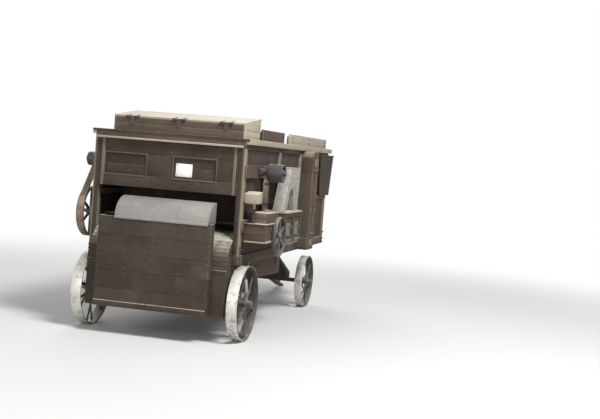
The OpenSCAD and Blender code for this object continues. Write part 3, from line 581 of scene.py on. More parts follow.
@dataclass(frozen=True)
class Eye:
    """A round ring of bar, as in a pull ring."""

    centre: Point
    axis: Point
    radius: float
    bar: float

    def add(self, piece: Piece) -> None:
        """Adds the ring to a piece in edit mode.

        Args:
            piece: the piece that is being built.
        """
        middle = Vector(self.centre) + Vector((END, 0, 0))
        turn = Vector(self.axis).to_track_quat("Z", "Y").to_euler()
        bpy.ops.mesh.primitive_torus_add(location=middle, rotation=turn, major_radius=self.radius,
                                         minor_radius=self.bar, major_segments=24, minor_segments=8)


Part = Board | Rod | Eye
Test = Callable[[np.ndarray], np.ndarray]


class Bench:
    """The workbench: operators that start, cut and finish a mesh."""

    seed = 7
    joint_width = 0.0035
    joint_depth = 0.004
    drill_length = 3.0
    drill_sides = 40
    merge = 0.00002
    flat = math.radians(0.6)

    def __init__(self) -> None:
        """Starts the row of random draws, which is the same on every run.

        Blender may order the faces that it cuts in another way on each run, and the boards of a
        scored piece then share out the same tones differently.
        """
        self.random = random.Random(self.seed)

    @staticmethod
    def clear() -> None:
        """Leaves nothing selected."""
        bpy.ops.object.select_all(action="DESELECT")

    @classmethod
    def pick(cls, piece: Piece) -> None:
        """Selects one object alone and makes it active.

        Args:
            piece: the object.
        """
        cls.clear()
        piece.select_set(True)
        bpy.context.view_layer.objects.active = piece

    @staticmethod
    def only(piece: Piece, vertices: Sequence[bmesh.types.BMVert]) -> None:
        """Leaves only these vertices of a mesh in edit mode selected.

        Args:
            piece: the piece in edit mode.
            vertices: what is selected.
        """
        bpy.ops.mesh.select_all(action="DESELECT")
        for vertex in vertices:
            vertex.select_set(True)
        bmesh.update_edit_mesh(piece.data)

    @classmethod
    def start(cls, name: str, mesh: bpy.types.Mesh | None = None) -> Piece:
        """Starts a piece and leaves it active, in edit mode.

        Args:
            name: the piece's name.
            mesh: its first mesh, or None for an empty one.

        Returns:
            The piece.
        """
        piece = bpy.data.objects.new(name, mesh or bpy.data.meshes.new(name))
        bpy.context.scene.collection.objects.link(piece)
        cls.pick(piece)
        bpy.ops.object.mode_set(mode="EDIT")
        bpy.ops.mesh.select_mode(type="VERT")
        return piece

    def make(self, name: str, parts: Iterable[Part], bevel: float,
             holes: Iterable[Point] = ()) -> Piece:
        """Builds a piece from boards, bars and rings, and eases its edges.

        Args:
            name: the piece's name.
            parts: what it is built of.
            bevel: how far its edges are eased.
            holes: holes across the machine, as x, z and radius.

        Returns:
            The piece, in object mode.
        """
        piece = self.start(name)
        for part in parts:
            part.add(piece)
        bpy.ops.object.mode_set(mode="OBJECT")
        for hole in holes:
            self.drill(piece, *hole)
        return self.grade(self.ease(piece, bevel))

    @classmethod
    def drill(cls, piece: Piece, x: float, z: float, radius: float) -> None:
        """Cuts a round hole across the whole machine's width.

        Args:
            piece: the piece.
            x: the hole's place from the drum end.
            z: its height.
            radius: its radius.
        """
        cls.clear()
        bpy.ops.mesh.primitive_cylinder_add(vertices=cls.drill_sides, radius=radius, depth=cls.drill_length,
                                            location=(END + x, 0, z), rotation=(math.pi / 2, 0, 0))
        tool = bpy.context.active_object
        cls.pick(piece)
        made = piece.modifiers.new("hole", "BOOLEAN")
        made.object = tool
        made.solver = "EXACT"
        made.use_self = True
        bpy.ops.object.modifier_apply(modifier=made.name)
        bpy.data.objects.remove(tool)

    @classmethod
    def ease(cls, piece: Piece, bevel: float) -> Piece:
        """Bevels a piece's sharp edges and marks the new faces as edge.

        Args:
            piece: the piece.
            bevel: how wide the bevel is.

        Returns:
            The same piece.
        """
        cls.pick(piece)
        mesh = piece.data
        # The bevel's faces take the second of two empty material slots, which shows where they are
        mesh.materials.clear()
        mesh.materials.append(None)
        mesh.materials.append(None)
        made = piece.modifiers.new("edges", "BEVEL")
        made.width = bevel
        made.segments = 2
        made.limit_method = "ANGLE"
        made.angle_limit = SHARP
        made.material = 1
        bpy.ops.object.modifier_apply(modifier=made.name)
        index = np.zeros(len(mesh.polygons), np.int32)
        mesh.polygons.foreach_get("material_index", index)
        cls.store(piece, "edge", index == 1)
        mesh.polygons.foreach_set("material_index", np.zeros(len(mesh.polygons), np.int32))
        mesh.materials.clear()
        bpy.ops.object.shade_smooth_by_angle(angle=ROUND)
        return piece

    @classmethod
    def copy_of(cls, node: str, name: str, cuts: Sequence[Joint] = ()) -> Piece:
        """A copy of a CAD node, merged, its flat faces made whole, or a part of it.

        Args:
            node: the CAD node.
            name: the new piece's name.
            cuts: planes that cut it, of which the side that each normal points to stays.

        Returns:
            The piece, in object mode.
        """
        piece = cls.start(name, frame["nodes"][node].data.copy())
        bpy.ops.mesh.select_all(action="SELECT")
        bpy.ops.mesh.customdata_custom_splitnormals_clear()
        bpy.ops.mesh.remove_doubles(threshold=cls.merge)
        bpy.ops.mesh.dissolve_limited(angle_limit=cls.flat)
        for cut in cuts:
            bpy.ops.mesh.select_all(action="SELECT")
            bpy.ops.mesh.bisect(plane_co=cut.point(), plane_no=cut.normal, use_fill=True, clear_inner=True)
        bpy.ops.object.mode_set(mode="OBJECT")
        return piece

    @staticmethod
    def centres(piece: Piece) -> np.ndarray:
        """The middle of each face.

        Args:
            piece: the piece.

        Returns:
            A point for each face.
        """
        found = np.zeros(len(piece.data.polygons) * 3, np.float32)
        piece.data.polygons.foreach_get("center", found)
        return found.reshape(-1, 3).astype(float)

    @staticmethod
    def store(piece: Piece, name: str, values: np.ndarray) -> None:
        """Stores one value for each face.

        Args:
            piece: the piece.
            name: the attribute's name.
            values: a value for each face.
        """
        attributes = piece.data.attributes
        layer = attributes.get(name) or attributes.new(name, "FLOAT", "FACE")
        layer.data.foreach_set("value", np.asarray(values, np.float32))

    @classmethod
    def in_joint(cls, piece: Piece, joints: Sequence[Joint], width: float,
                 where: Test | None) -> np.ndarray:
        """Finds the faces that lie in the joints' narrow strips.

        Args:
            piece: the piece.
            joints: the joints.
            width: how wide a strip is.
            where: a test of the faces' middles, or None for all.

        Returns:
            True for each face in a strip.
        """
        middles = cls.centres(piece)
        found = np.zeros(len(middles), bool)
        for joint in joints:
            found |= np.abs(joint.offsets(middles)) < width / 2
        return found if where is None else found & where(middles)

    def score(self, piece: Piece, joints: Sequence[Joint], width: float,
              where: Test | None = None) -> Piece:
        """Cuts the joints between boards into a piece as real grooves.

        Args:
            piece: the piece, in object mode.
            joints: where boards meet.
            width: how wide a groove is.
            where: a test of the faces' middles, or None for all.

        Returns:
            The same piece.
        """
        self.pick(piece)
        bpy.ops.object.mode_set(mode="EDIT")
        bpy.ops.mesh.select_mode(type="FACE")
        for joint in joints:
            for shift in (-width / 2, width / 2):
                bpy.ops.mesh.select_all(action="SELECT")
                bpy.ops.mesh.bisect(plane_co=joint.point(shift), plane_no=joint.normal)
        bpy.ops.mesh.select_all(action="DESELECT")
        bpy.ops.object.mode_set(mode="OBJECT")
        # A little narrower before the faces are sunk, and wider after it, takes in the groove alone
        piece.data.polygons.foreach_set("select", self.in_joint(piece, joints, width * 0.99, where))
        bpy.ops.object.mode_set(mode="EDIT")
        sink = {"value": -self.joint_depth, "use_even_offset": True}
        bpy.ops.mesh.extrude_region_shrink_fatten(TRANSFORM_OT_shrink_fatten=sink)
        bpy.ops.object.mode_set(mode="OBJECT")
        self.store(piece, "seam", self.in_joint(piece, joints, width * 1.05, where))
        bpy.ops.object.shade_smooth_by_angle(angle=ROUND)
        return self.grade(piece, joints)

    def grade(self, piece: Piece, joints: Sequence[Joint] = ()) -> Piece:
        """Gives each board of a piece a tone of its own, from 0 to 1.

        Args:
            piece: the piece.
            joints: the joints that part the boards of one solid.

        Returns:
            The same piece.
        """
        mesh = piece.data
        root = list(range(len(mesh.vertices)))

        def find(index: int) -> int:
            """The lowest vertex that stands for a solid.

            Args:
                index: a vertex of the solid.

            Returns:
                The vertex that stands for it.
            """
            while root[index] != index:
                root[index] = root[root[index]]
                index = root[index]
            return index

        for edge in mesh.edges:
            a, b = (find(v) for v in edge.vertices)
            root[max(a, b)] = min(a, b)
        middles = self.centres(piece)
        passed = np.zeros(len(middles), int)
        for joint in joints:
            passed += joint.offsets(middles) > 0
        tones: dict[tuple[int, int], float] = {}
        values = []
        for face, count in zip(mesh.polygons, passed):
            key = (find(face.vertices[0]), int(count))
            if key not in tones:
                tones[key] = self.random.random()
            values.append(tones[key])
        self.store(piece, "tone", values)
        return piece

    @classmethod
    def join(cls, name: str, pieces: Sequence[Piece]) -> Piece:
        """Joins pieces into one object of that name.

        Args:
            name: the joined piece's name.
            pieces: what is joined.

        Returns:
            The joined piece.
        """
        cls.clear()
        for piece in pieces:
            piece.select_set(True)
        bpy.context.view_layer.objects.active = pieces[0]
        if len(pieces) > 1:
            bpy.ops.object.join()
        pieces[0].name = name
        return pieces[0]


class Fixing(Enum):
    """A small iron part that is repeated: each stage's sides, lower and upper radius, and height."""

    BOLT = ((12, 0.019, 0.019, 0.004), (6, 0.0125, 0.0112, 0.011), (8, 0.0062, 0.0050, 0.007))
    SCREW = ((10, 0.0065, 0.0058, 0.0022), (6, 0.0030, 0.0022, 0.0008))
    NAIL = ((8, 0.0048, 0.0034, 0.0014),)
    RIVET = ((8, 0.0085, 0.0074, 0.0026), (8, 0.0074, 0.0036, 0.0022))
    DOME = ((12, 0.0150, 0.0138, 0.0040), (12, 0.0138, 0.0085, 0.0040), (12, 0.0085, 0.0020, 0.0016))


Spot = tuple[Point, Point]


def spots(xs: Sequence[float], ys: Sequence[float], zs: Sequence[float], way: Point) -> list[Spot]:
    """Every place of a grid where a fixing goes, with the way that its head faces."""
    return [((x, y, z), way) for x in xs for y in ys for z in zs]


def outward(side: Side, xs: Sequence[float], y: float, zs: Sequence[float]) -> list[Spot]:
    """Places of a grid on one side, where y counts outwards and the heads face out."""
    return spots(xs, [side.value * y], zs, side.way)


def round_spot(centre: Span, y: float, radius: float, angle: float) -> Spot:
    """A place on a curve round a line across the machine, which faces away from that line."""
    way = (math.cos(angle), 0.0, math.sin(angle))
    return (centre[0] + radius * way[0], y, centre[1] + radius * way[2]), way


def steps(first: float, last: float, count: int) -> list[float]:
    """Evenly spaced values from first to last."""
    return [first + (last - first) * i / (count - 1) for i in range(count)]


class Shop:
    """What every sub-assembly shares: its bench, its paints and the machine's bodies."""

    head_round = math.radians(40)

    def __init__(self) -> None:
        """Reads which body carries each node, and the record's slots."""
        self.bench = Bench()
        self.made: dict[Finish, bpy.types.Material] = {}
        bodies = frame["record"]["behaviour"]["bodies"]
        self.body = {node: body for body, nodes in bodies.items() for node in nodes}
        self.slot = {p["node"]: p["material_slot"] for p in frame["record"]["subparts"]}

    def paint(self, finish: Finish) -> bpy.types.Material:
        """The material of a finish, made once.

        Args:
            finish: the finish.

        Returns:
            Its material.
        """
        if finish not in self.made:
            self.made[finish] = finish.material()
        return self.made[finish]

    def place(self, piece: Piece, body: str, slot: str, finish: Finish,
              stands_for: Sequence[str] = ()) -> Piece:
        """Paints a finished piece and seats it on its body.

        Args:
            piece: the piece.
            body: the CAD body that it rides on.
            slot: the record's material slot.
            finish: its finish.
            stands_for: CAD nodes that it replaces.

        Returns:
            The same piece.
        """
        piece.data.materials.clear()
        piece.data.materials.append(self.paint(finish))
        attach(piece, body)
        if stands_for:
            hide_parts(*stands_for)
        log.info("%s: %d faces on %s", piece.name, len(piece.data.polygons), body)
        return piece

    def dress(self, node: str, finish: Finish, bevel: float, joints: Sequence[Joint] = (),
              where: Test | None = None, cuts: Sequence[Joint] = (), name: str = "",
              width: float = Bench.joint_width) -> Piece:
        """Replaces a CAD node by its own shape with eased edges and board joints, and paints it.

        Args:
            node: the CAD node.
            finish: its finish.
            bevel: how far its edges are eased.
            joints: where its boards meet.
            where: a test of the faces that the joints are cut in.
            cuts: planes that leave a part of the node only.
            name: the piece's name, if it isn't the node's.
            width: how wide a joint is.

        Returns:
            The piece.
        """
        piece = self.bench.copy_of(node, name or f"{node}_dressed", cuts)
        self.bench.ease(piece, bevel)
        if joints:
            self.bench.score(piece, joints, width, where)
        else:
            self.bench.grade(piece)
        return self.place(piece, self.body[node], self.slot[node], finish, [node])

    def timber(self, name: str, parts: Iterable[Part], kind: Wood, grain: Axis, slot: Slot,
               bevel: float = 0.003, body: str = "machine", stands_for: Sequence[str] = ()) -> Piece:
        """Builds a piece of one kind of wood from its boards, which may stand for CAD nodes."""
        piece = self.bench.make(name, parts, bevel)
        return self.place(piece, body, slot.value, Timber(kind, grain), stands_for)

    def iron(self, name: str, parts: Iterable[Part], body: str = "machine", bevel: float = 0.0012,
             finish: Finish = IRON) -> Piece:
        """Builds a piece of ironwork from its bars, rods and rings."""
        return self.place(self.bench.make(name, parts, bevel), body, Slot.IRON.value, finish)

    def fix(self, name: str, kind: Fixing, places: Sequence[Spot], body: str = "machine",
            finish: Finish = IRON) -> Piece:
        """Models one fixing and copies it to its places, each copy with its own mesh.

        Args:
            name: the joined piece's name.
            kind: what is repeated.
            places: where the heads sit and face.
            body: the body that carries them.
            finish: their finish.

        Returns:
            The joined piece.
        """
        master = Bench.start("master")
        height = 0.0
        for sides, low, high, tall in kind.value:
            bpy.ops.mesh.primitive_cone_add(vertices=sides, radius1=low, radius2=high, depth=tall,
                                            location=(0, 0, height + tall / 2))
            height += tall
        bpy.ops.object.mode_set(mode="OBJECT")
        bpy.ops.object.shade_smooth_by_angle(angle=self.head_round)
        copies = []
        for at, way in places:
            copy = master.copy()
            copy.data = master.data.copy()
            spin = Vector(way).to_track_quat("Z", "Y").to_matrix().to_4x4()
            turn = Matrix.Rotation(self.bench.random.random() * math.tau, 4, "Z")
            copy.data.transform(Matrix.Translation(Vector(at) + Vector((END, 0, 0))) @ spin @ turn)
            bpy.context.scene.collection.objects.link(copy)
            copies.append(copy)
        bpy.data.objects.remove(master)
        piece = Bench.join(name, copies)
        self.bench.grade(piece)
        return self.place(piece, body, Slot.IRON.value, finish)


# Sub-assemblies. Every x counts from the drum end, every y of a board for one side counts
# outwards, and lengths are metres


@dataclass(frozen=True)
class Carcase:
    """The body's main sizes."""

    length: float = 4.95
    half: float = 1.015
    inner: float = 0.93
    wall: float = 0.989
    sill: Span = (0.985, 1.105)
    middle: Span = (1.74, 1.80)
    rail: Span = (2.45, 2.55)
    posts: Row = (0.0, 1.70, 2.95, 4.11, 4.86)
    post: float = 0.09
    bearer: float = 1.04
    bearer_half: float = 0.08
    bearer_end: float = 1.79
    # The x and z of the drum's shaft and of the cross shaft, and the radii of their bores
    drum: Span = (0.62, 2.17)
    cross: Span = (0.35, 1.48)
    bores: Span = (0.042, 0.034)

    def bays(self) -> list[Span]:
        """The open lengths between the posts."""
        return [(a + self.post, b) for a, b in zip(self.posts, self.posts[1:])]


@dataclass
class Assembly:
    """What every sub-assembly starts from."""

    shop: Shop
    size: Carcase = Carcase()


def plates(xs: Sequence[float], wide: float, ys: Span, zs: Span) -> list[Board]:
    """Boards of one width that start at each x, between two faces and two heights."""
    return [Board((x, ys[0], zs[0]), (x + wide, ys[1], zs[1])) for x in xs]


def block(middle: Point, half: Point, turn: float) -> Board:
    """A board by its middle and half its size, turned in degrees."""
    low, high = zip(*((m - h, m + h) for m, h in zip(middle, half)))
    return Board(low, high, turn)


@dataclass
class SideFrames(Assembly):
    """The two side frames, with their bolts and corner straps, and the cross beams."""

    sunk: float = 0.002
    strap_t: float = 0.006
    strap_w: float = 0.045
    strap_foot: float = 0.01
    strap_up: float = 0.11
    foot_bolts: Row = (1.02, 1.07, 1.18)
    post_bolts: Row = (1.77, 2.475)
    bearer_bolts: Row = (0.045, 0.95, 1.745)
    bolt_gap: float = 0.04

    def build(self) -> None:
        """Builds both frames and the beams between them."""
        for side in Side:
            self.rails(side)
            self.posts(side)
            self.bolts(side)
        self.shop.dress("cross_beams", Timber(Wood.BROWN, Axis.Y), 0.004)

    def rails(self, side: Side) -> None:
        """Builds the sill, the rails and the outer bearing rails of one side.

        Args:
            side: the machine's side.
        """
        s, sunk = self.size, self.sunk
        parts = [Board((0, s.inner, low), (s.length, s.half, high)) for low, high in (s.sill, s.rail)]
        parts += [Board((a, s.inner + sunk, s.middle[0]), (b, s.half - sunk, s.middle[1]))
                  for a, b in s.bays()]
        parts += [Board((0, s.half, z - s.bearer_half), (s.bearer_end, s.bearer, z + s.bearer_half))
                  for _, z in (s.drum, s.cross)]
        holes = [(*centre, bore) for centre, bore in zip((s.drum, s.cross), s.bores)]
        name = f"frame_rails_{side.label}"
        piece = self.shop.bench.make(name, [p.on(side) for p in parts], 0.004, holes)
        self.shop.place(piece, "machine", Slot.PAINTED.value, Timber(Wood.BROWN, Axis.X),
                        [f"side_frame_{side.label}"])

    def posts(self, side: Side) -> None:
        """Builds the posts of one side, which are paler, and lays iron straps over their feet.

        Args:
            side: the machine's side.
        """
        s = self.size
        parts = plates(s.posts, s.post, (s.inner, s.half), (s.sill[1], s.rail[0]))
        self.shop.timber(f"frame_posts_{side.label}", [p.on(side) for p in parts], Wood.ASH, Axis.Z,
                         Slot.PAINTED, 0.005)
        xs = [x + (s.post - self.strap_w) / 2 for x in s.posts]
        parts = plates(xs, self.strap_w, (s.half, s.half + self.strap_t),
                       (s.sill[0] + self.strap_foot, s.sill[1] + self.strap_up))
        self.shop.iron(f"frame_straps_{side.label}", [p.on(side) for p in parts])

    def bolts(self, side: Side) -> None:
        """Bolts the frame's joints. The boxes cover the lower right rail but for its end.

        Args:
            side: the machine's side.
        """
        s = self.size
        middles = [x + s.post / 2 for x in s.posts]
        places = outward(side, middles, s.half + self.strap_t, self.foot_bolts)
        places += outward(side, middles, s.half, self.post_bolts)
        lower = self.bearer_bolts[:1] if side is Side.RIGHT else self.bearer_bolts
        for xs, z in ((self.bearer_bolts, s.drum[1]), (lower, s.cross[1])):
            places += outward(side, xs, s.bearer, [z - self.bolt_gap, z + self.bolt_gap])
        self.shop.fix(f"frame_bolts_{side.label}", Fixing.BOLT, places)


@dataclass
class Walls(Assembly):
    """The boarded walls and floors of the body, and the grey hatch beside the spout."""

    plank: float = 0.145
    narrowest: float = 0.1
    across: int = 12
    nail_in: float = 0.03
    nail_rows: Row = (1.13, 1.715, 1.825, 2.425)
    hatch_x: Row = (0.905, 1.035)
    hatch_w: float = 0.128
    hatch_z: Span = (1.664, 2.088)
    hatch_t: float = 0.02
    strap_x: Span = (0.915, 1.15)
    strap_z: Row = (1.73, 2.0)
    strap_w: float = 0.032
    strap_t: float = 0.005
    screws_x: Row = (0.94, 1.0, 1.08, 1.13)

    def planks(self) -> list[float]:
        """The joints of the upright wall boards, bay by bay.

        Returns:
            Each joint's x.
        """
        found = []
        for low, high in self.size.bays():
            found += steps(low, high, round((high - low) / self.plank) + 1)
        return found

    def build(self) -> None:
        """Boards the sides, the wall behind the fan and the floors."""
        places = self.planks()
        joints = [Joint((x, 0.0, 0.0), BEHIND) for x in places]
        for side in Side:
            self.shop.dress(f"side_boards_{side.label}", Timber(Wood.UMBER, Axis.Z), 0.0015, joints)
            self.nails(side, places)
        across = row(Axis.Y, -self.size.inner, self.size.inner, self.across)
        for node, grain in (("inner_wall", Axis.Z), ("floor_boards", Axis.X), ("drum_box_floor", Axis.X)):
            self.shop.dress(node, Timber(Wood.UMBER, grain), 0.002, across)
        self.hatch()

    def nails(self, side: Side, places: Sequence[float]) -> None:
        """Nails each wall board at its ends.

        Args:
            side: the machine's side.
            places: the boards' joints.
        """
        boards = [(a, b) for a, b in zip(places, places[1:]) if self.narrowest < b - a < 2 * self.plank]
        xs = [x for a, b in boards for x in (a + self.nail_in, b - self.nail_in)]
        places = outward(side, xs, self.size.wall, self.nail_rows)
        self.shop.fix(f"wall_nails_{side.label}", Fixing.NAIL, places, finish=NAILS)

    def hatch(self) -> None:
        """Builds the grey hatch beside the spout, with its hinges."""
        y0 = self.size.half
        y1, y2 = y0 + self.hatch_t, y0 + self.hatch_t + self.strap_t
        boards = plates(self.hatch_x, self.hatch_w, (y0, y1), self.hatch_z)
        self.shop.timber("wall_hatch", right(boards), Wood.ASH, Axis.Z, Slot.PAINTED)
        (x0, x1), wide = self.strap_x, self.strap_w
        straps = [Board((x0, y1, z), (x1, y2, z + wide)) for z in self.strap_z]
        self.shop.iron("wall_hatch_straps", right(straps))
        screws = outward(Side.RIGHT, self.screws_x, y2, [z + wide / 2 for z in self.strap_z])
        self.shop.fix("wall_hatch_screws", Fixing.SCREW, screws)


@dataclass
class Deck(Assembly):
    """The deck, with the low boards that stand on its edges."""

    top: float = 2.58
    under: float = 2.55
    skim: float = 0.0005
    edge: float = 1.06
    nosing: float = 0.008
    length: float = 4.995
    boards: int = 34
    mouth: Span = (1.3, 0.70)
    nails_y: Row = (0.97, 0.80, 0.30)
    nail_gap: float = 0.03
    parting: float = 2.05
    kick_bolts: Row = (0.84, 1.305, 1.77, 2.33, 3.46, 4.59)
    kick_y: float = 1.015
    kick_z: Row = (2.62, 2.68)

    def build(self) -> None:
        """Lays the deck, nails it, and stands the low boards on it."""
        shop = self.shop
        shop.dress("deck", Timber(Wood.BARE, Axis.Y), 0.003, row(Axis.X, 0, self.length, self.boards),
                   lambda at: at[:, 2] > self.under - self.skim)
        nose = [Board((-self.nosing, -self.edge, self.under - self.skim),
                      (0, self.edge, self.top - self.skim))]
        shop.timber("deck_nosing", nose, Wood.UMBER, Axis.Y, Slot.PALE, 0.002)
        self.nails()
        # The near boards are painted, the far ones bare
        for name, wood, keep in (("dressed", Wood.BROWN, AHEAD), ("far", Wood.BARE, BEHIND)):
            cuts = [Joint((self.parting, 0, 0), keep)]
            shop.dress("kick_boards", Timber(wood, Axis.X), 0.004, cuts=cuts, name=f"kick_boards_{name}")
        for side in Side:
            places = outward(side, self.kick_bolts, self.kick_y, self.kick_z)
            shop.fix(f"kick_bolts_{side.label}", Fixing.DOME, places)

    def nails(self) -> None:
        """Nails each deck board over the rails and the middle, clear of the open mouths."""
        pitch = self.length / self.boards
        places = []
        for i in range(self.boards):
            x = (i + 0.5) * pitch
            for y in self.nails_y:
                if x > self.mouth[0] or y > self.mouth[1]:
                    places += spots([x - self.nail_gap, x + self.nail_gap], [-y, y], [self.top], UP)
        self.shop.fix("deck_nails", Fixing.NAIL, places, finish=NAILS)


@dataclass
class DrumEnd(Assembly):
    """The drum box's end: rails, stiles, two sunk panels, the ledge and the blank plate."""

    face: float = -0.015
    sunk: float = 0.005
    back: float = 0.03
    low: float = 1.86
    top: float = 2.465
    panel_z: Span = (2.01, 2.28)
    panels: tuple[Span, Span] = ((0.295, 0.855), (-0.645, -0.075))
    bead: float = 0.014
    bead_t: float = 0.006
    strip_y: Span = (0.87, 0.905)
    ledge: Point = (0.065, 0.985, 2.49)
    facing: Span = (0.004, 0.988)
    facing_z: Span = (1.11, 2.448)
    stile_nails: Row = (-0.84, -0.68, -0.04, 0.26)
    rail_nails: Row = (1.90, 1.97, 2.33, 2.43)
    panel_nails: Row = (-0.36, 0.57)
    strip_nails: Row = (1.89, 2.10, 2.30, 2.44)
    ledge_nails: tuple[float, float, int] = (-0.95, 0.95, 9)
    ledge_nail_x: float = -0.04
    plate_face: float = 0.002
    plate_y: Row = (-0.309, -0.121)
    plate_z: Row = (2.056, 2.189)

    def build(self) -> None:
        """Builds the end and what is fixed to it."""
        shop, (z0, z1), (left, near) = self.shop, self.panel_z, self.panels
        f, s, b, e = self.face, self.sunk, self.back, self.size.inner
        boards = [Board((f, -e, self.low), (s, e, z0)), Board((f, -e, z1), (s, e, self.top))]
        stiles = ((-e, near[0]), (near[1], left[0]), (left[1], e))
        boards += [Board((f, y0, z0), (s, y1, z1)) for y0, y1 in stiles]
        shop.timber("drum_end_frame", boards, Wood.UMBER, Axis.Y, Slot.DARK, 0.002,
                    stands_for=["drum_end_panel"])
        beads = [bead for panel in self.panels for bead in self.moulding(*panel)]
        shop.timber("drum_end_beads", beads, Wood.BROWN, Axis.Y, Slot.DARK, 0.002)
        heights = (self.low, z0, (z0 + z1) / 2, z1, self.size.rail[0])
        backs = [Board((s, -e, a), (b, e, c)) for a, c in zip(heights, heights[1:])]
        shop.timber("drum_end_backing", backs, Wood.UMBER, Axis.Y, Slot.DARK, 0.002)
        strip = Board((f - self.bead_t, self.strip_y[0], self.low), (f, self.strip_y[1], self.top))
        shop.timber("drum_end_strips", mirrored(strip), Wood.ASH, Axis.Z, Slot.DARK, 0.0015)
        out, wide, high = self.ledge
        shop.timber("drum_end_ledge", [Board((-out, -wide, self.top), (0, wide, high))], Wood.BARE, Axis.Y,
                    Slot.DARK, 0.004)
        # Dark facings over both corner posts' near faces. On the right it is a dark trim that leaves a pale
        # outer line; on the left it is painted shade over a post that lies in shadow.
        corner = Board((-self.facing[0], e, self.facing_z[0]), (0, self.facing[1], self.facing_z[1]))
        shop.timber("corner_facings", mirrored(corner), Wood.UMBER, Axis.Z, Slot.DARK, 0.0015)
        self.fixings()
        self.plate()

    def moulding(self, y0: float, y1: float) -> list[Board]:
        """The raised beads round one sunk panel.

        Args:
            y0: the panel's right edge.
            y1: its left edge.

        Returns:
            The four beads.
        """
        z0, z1 = self.panel_z
        x0, x1, w = self.face - self.bead_t, self.face, self.bead
        spans = (((y0 - w, z0 - w), (y1 + w, z0)), ((y0 - w, z1), (y1 + w, z1 + w)),
                 ((y0 - w, z0), (y0, z1)), ((y1, z0), (y1 + w, z1)))
        return [Board((x0, *low), (x1, *high)) for low, high in spans]

    def fixings(self) -> None:
        """Nails the frame and the ledge, and pins the strips."""
        places = spots([self.face], self.stile_nails, self.rail_nails, AHEAD)
        places += spots([self.face], self.panel_nails, [self.rail_nails[0], self.rail_nails[-1]], AHEAD)
        middle = sum(self.strip_y) / 2
        places += spots([self.face - self.bead_t], [-middle, middle], self.strip_nails, AHEAD)
        places += spots([self.ledge_nail_x], steps(*self.ledge_nails), [self.ledge[2]], UP)
        self.shop.fix("drum_end_nails", Fixing.NAIL, places, finish=NAILS)

    def plate(self) -> None:
        """Screws the blank white plate on."""
        self.shop.dress("blank_plate", WHITE, 0.0009)
        places = spots([self.plate_face], self.plate_y, self.plate_z, AHEAD)
        self.shop.fix("plate_screws", Fixing.SCREW, places)


